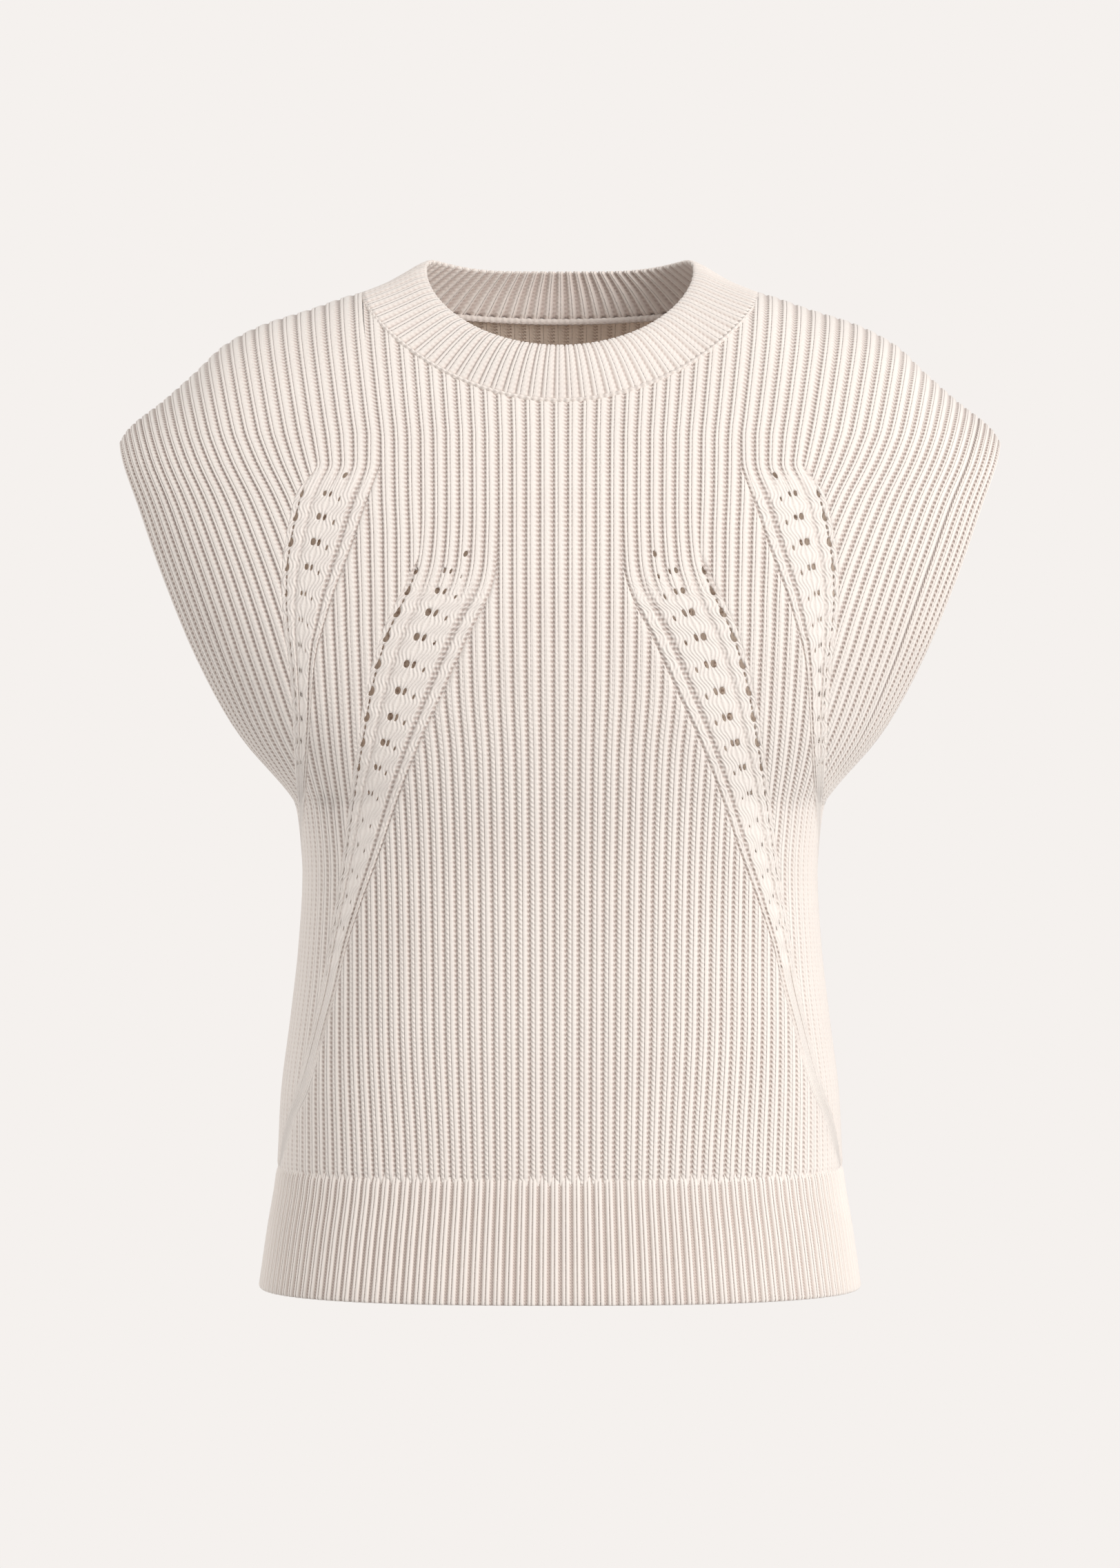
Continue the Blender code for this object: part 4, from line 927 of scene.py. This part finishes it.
def hem_band(side):
    """One path over each column: up the inside, round the hem's edge, up the outside."""
    number = (np.arange(-HEM_RIBS, HEM_RIBS)[:, None] + HEM_PHASES).ravel()
    number = np.hstack([number, HEM_RIBS])
    across = np.clip(number / HEM_RIBS, -1, 1)
    relief = np.interp(np.mod(number, 1), *HEM_RELIEF)[:, None]
    lap = BAND_HEIGHT + HEM_LAP * np.array([-0.5, 0, 0.5, 1])
    outside = np.hstack([np.linspace(HEM_EDGE, BAND_HEIGHT - HEM_LAP, 8), lap])[None]
    inside = np.linspace(BAND_HEIGHT - 1, HEM_EDGE, 6)[None]
    sink = HEM_SINK * ease(BAND_HEIGHT - HEM_LAP, BAND_HEIGHT + HEM_LAP, outside)
    shallow = 1 - 0.3 * ease(BAND_HEIGHT - 8, BAND_HEIGHT - 1, outside)
    outer = on_body(across[:, None], outside, side, HEM_FURROW * (1 - relief) * shallow + sink)
    inner = on_body(across[:, None], inside, side, WALL - HEM_INNER_FURROW * relief)
    down = np.zeros_like(outer[:, 0])
    down[:, 2] = -RIM_REACH
    rim = rolled(inner[:, -1], outer[:, 0], down, 6)[:, 1:-1]
    points = np.hstack([inner, rim, outer, inner[:, :1]])
    length = np.hstack([-inside[0], -1.2, -0.4, 0.4, 1.2, outside[0], BAND_HEIGHT])
    middle = np.full((1, len(length)), BAND_HEIGHT / 2)
    ends = [on_body(end, middle, side, WALL / 2) for end in (-1, 1)]
    points = np.concatenate([ends[0], points, ends[1]])
    number = np.pad(number, 1, "edge")
    # painted shade in the hem's furrows, a little stronger than the body's
    furrow = 1.4 * (1 - np.pad(relief, ((1, 1), (0, 0)), "edge"))
    uv = knit_uv(number[:, None] + 0.5, length[None] / HEM_ROW)
    return {"points": points, "uv": uv, "furrow": np.broadcast_to(furrow, points.shape[:2]),
            "flip": side == "back", "closed_rows": True}


# The close rib's stitches by phase, as for the body: the line and the comb are painted shade as well as
# relief, the twist a faint painted highlight.
HEM_STITCH = ((0, 0.9, 0, 0.9), (0.12, 0.9, 0, 0.8), (0.17, 0, 0, 0), (0.44, 0, 0, 0),
              (0.47, 0, 1, 0), (0.51, 0, 1, 0), (0.54, 0, 0, 0), (0.83, 0, 0, 0),
              (0.88, 0.9, 0, 0.9))
band_rib = cotton_yarn("cream_cotton_close_rib", CREAM, HEM_STITCH, HEM_STITCH, 2.6, 0.0004)
for side in ("front", "back"):
    hem = knit_piece("hem_rib_" + side, [hem_band(side)], band_rib, "hem_band_" + side)

# --------------------
# The neck band: a ring of 86 ribs, knitted apart and linked on. Its free edge is scalloped by the ribs. A
# chain of linking stitches lies along its foot, and inside a rolled seam.

NECK_RIBS = 86
NECK_EDGE_HALF_WIDTH = 73.0
NECK_EDGE_FRONT = 64.0
NECK_EDGE_BACK = 50.0
FRONT_EDGE_HEIGHT = 490.0
SIDE_EDGE_HEIGHT = 537.3
BACK_EDGE_HEIGHT = 537.2
CORNER_RISE = 4.9  # the edge is highest a little behind its sides
NECK_BULGE = 2.5  # how much more the front and back bulge than the sides, which are hollow by the next value
NECK_HOLLOW = 0.6
NECK_FURROW = 1.3
NECK_INNER_FURROW = 1.5
NECK_EXTRA = 0.8  # how much thicker it is than the body's cloth, and how far its edge is rounded off
NECK_RELIEF = ((0, 0.08, 0.16, 0.25, 0.36, 0.42, 0.48, 0.56, 0.7, 0.8, 0.9, 0.95, 1),
               (0, 0.4, 0.88, 0.97, 0.92, 0.66, 0.9, 1, 1, 0.95, 0.74, 0.3, 0))
NECK_INSIDE = ((0, 0.18, 0.3, 0.4, 0.5, 0.6, 0.7, 0.82, 1),
               (0.1, 0.15, 0.75, 0.98, 0.75, 0.98, 0.75, 0.15, 0.1))


def neck_seam(turn):
    """Points of the neck seam on the body and the way out of the cloth there, at angles from centre front."""
    front = np.cos(turn) > 0
    distance = np.clip(NECK_HALF_WIDTH * np.sin(turn), -NECK_HALF_WIDTH + 1e-6, NECK_HALF_WIDTH - 1e-6)
    points, ways = [], []
    for side in ("front", "back"):
        height = neckline_height(distance, side)
        points.append(on_body(across_of(distance, height), height, side, 0.0))
        ways.append(outward(distance, height, side))
    return np.where(front[:, None], *points), np.where(front[:, None], *ways)


def neck_edge(turn):
    """Points of the band's free edge: an oval that is high at the sides and back and dips at the front."""
    front = np.maximum(np.cos(turn), 0)
    back = np.maximum(-np.cos(turn), 0)
    height = SIDE_EDGE_HEIGHT + (FRONT_EDGE_HEIGHT - SIDE_EDGE_HEIGHT) * front**1.15
    height = height + (BACK_EDGE_HEIGHT - SIDE_EDGE_HEIGHT - CORNER_RISE) * ease(0.3, 1.1, back)
    height = height + CORNER_RISE * (1 - (1 - np.minimum(back / 0.35, 1)) ** 2)
    depth = -NECK_EDGE_FRONT * front + NECK_EDGE_BACK * back
    return np.stack([NECK_EDGE_HALF_WIDTH * np.sin(turn), depth, height], axis=-1)


def neck_points(turn, share, below):
    """Points of the band at each angle and share of its height, `below` its outermost surface."""
    seam, out = neck_seam(turn)
    edge = neck_edge(turn)
    up = unit(edge - seam)
    around = np.stack([np.cos(turn), np.sin(turn), 0 * turn], axis=-1)
    flat_out = unit(np.cross(around, up))
    lean = np.clip(share * 3, 0, 1)[None, :, None]
    way = unit(out[:, None] * (1 - lean) + flat_out[:, None] * lean)
    along = share[None, :, None]
    bulge = flat_out * (NECK_BULGE * np.cos(turn)[:, None] ** 2 - NECK_HOLLOW)
    bulge = bulge[:, None] * np.sin(math.pi * along)
    below = np.broadcast_to(below, (len(turn), len(share)))[..., None]
    return seam[:, None] * (1 - along) + edge[:, None] * along + bulge - way * below


fine_turn = np.linspace(0, 2 * math.pi, 1441)
seam_run = run_along(neck_seam(fine_turn)[0])


def turns_of(number):
    """Angles at rib numbers 0 to 86, which divide the neck seam into equal lengths from centre front."""
    return np.interp(np.asarray(number) / NECK_RIBS * seam_run[-1], seam_run, fine_turn)


def neck_ring():
    """One path over each column: up the inside, over the scalloped edge, down the outside."""
    number = (np.arange(NECK_RIBS)[:, None] + np.linspace(0, 1, 12, endpoint=False)).ravel()
    number = np.hstack([number, NECK_RIBS])
    turn = turns_of(number)
    turn[-1] = turn[0]
    phase = np.mod(number + 0.5, 1)
    relief = np.interp(phase, *NECK_RELIEF)[:, None]
    wrong = np.interp(phase, *NECK_INSIDE)[:, None]
    outside = np.linspace(1.0, 0.0, 15)
    inside = np.linspace(-0.02, 1.0, 8)
    round_off = NECK_EXTRA * ease(0.88, 1.0, outside)[None]
    outer = neck_points(turn, outside, NECK_FURROW * (1 - relief) + round_off)
    inner = neck_points(turn, inside, WALL + NECK_EXTRA - NECK_INNER_FURROW * (1 - wrong))
    up = unit(outer[:, 0] - outer[:, 2]) * (NECK_EXTRA + NECK_FURROW * relief)
    rim = rolled(inner[:, -1], outer[:, 0], up, 7)[:, 1:-1]
    points = np.hstack([inner, rim, outer, inner[:, :1]])
    uv = knit_uv(number[:, None], run_along(points[0])[None] / ROW)
    inside_part = np.arange(points.shape[1]) < len(inside)
    # painted shade: the band's inside, in the shade of the collar, is darkened a little everywhere and
    # strongly in its furrows; the outside gets the furrow shade of its ribs
    furrow = np.where(inside_part[None], 0.5 + 2.6 * (1 - wrong), 0.25 + 1.4 * (1 - relief))
    return {"points": points, "uv": uv, "furrow": furrow, "closed": True, "closed_rows": True}


# The neck rib's stitches by phase: the line and the comb are painted shade as well as relief, the twist a
# faint painted highlight.
NECK_STITCH = ((0, 0, 0, 0.45), (0.08, 0, 0, 0.35), (0.14, 0, 0, 0), (0.38, 0, 0, 0),
               (0.42, 0, 0.9, 0), (0.46, 0, 0, 0), (0.74, 0.3, 0, 0), (0.88, 0.3, 0, 0.4))
neck_rib = cotton_yarn("cream_cotton_neck_rib", CREAM, NECK_STITCH, NECK_STITCH, 1.2, 0.0005)
neck = knit_piece("neck_rib", [neck_ring()], neck_rib, "neck_band")


def yarn_ring(path, way, radius, lumps, swell, sides=7):
    """A tube along a closed path: a circle at each point, swelling once for each stitch."""
    along = unit(np.roll(path, -1, axis=0) - np.roll(path, 1, axis=0))
    out = unit(way - along * np.sum(way * along, axis=1, keepdims=True))
    side = np.cross(along, out)
    turn = np.linspace(0, 2 * math.pi, sides + 1)[None, :, None]
    stitch = np.arange(len(path) + 1)[:, None] * lumps / len(path)
    size = radius * (1 + swell * np.cos(2 * math.pi * stitch[:-1, 0]))
    size = size[:, None, None]
    points = path[:, None] + size * (out[:, None] * np.cos(turn) + side[:, None] * np.sin(turn))
    points = np.concatenate([points, points[:1]])
    uv = knit_uv(0.5 + np.linspace(0, 1, sides + 1)[None], stitch)
    # the furrow value gives the yarn a light, even painted shade
    return {"points": points, "uv": uv, "furrow": np.full(uv.shape[:2], 0.12), "closed": True}


CHAIN_RADIUS = 1.25
ROLL_RADIUS = 1.8
ring_turn = turns_of(np.arange(0, NECK_RIBS, 0.1))
ring_way = neck_seam(ring_turn)[1]
beside = np.sin(ring_turn) ** 8  # near the shoulder line the chain is thinner and lies deeper
at_seam = np.array([0.0])
chain_path = neck_points(ring_turn, at_seam, 0.5 + 0.6 * beside[:, None])[:, 0]
knit_piece(
    "linking_chain", [yarn_ring(chain_path, ring_way, CHAIN_RADIUS - 0.4 * beside, 2 * NECK_RIBS, 0.20)],
    neck_rib, "neck_band",
)
roll_path = neck_points(ring_turn, at_seam, 4.0)[:, 0]
roll_grid = yarn_ring(roll_path, -ring_way, ROLL_RADIUS, 2 * NECK_RIBS, 0.12)
# painted shade: the rolled seam inside the neck is darkened all over, where it lies in shade
roll_grid["furrow"] += 1.2
knit_piece("rolled_seam_inside", [roll_grid], neck_rib, "neck_band")
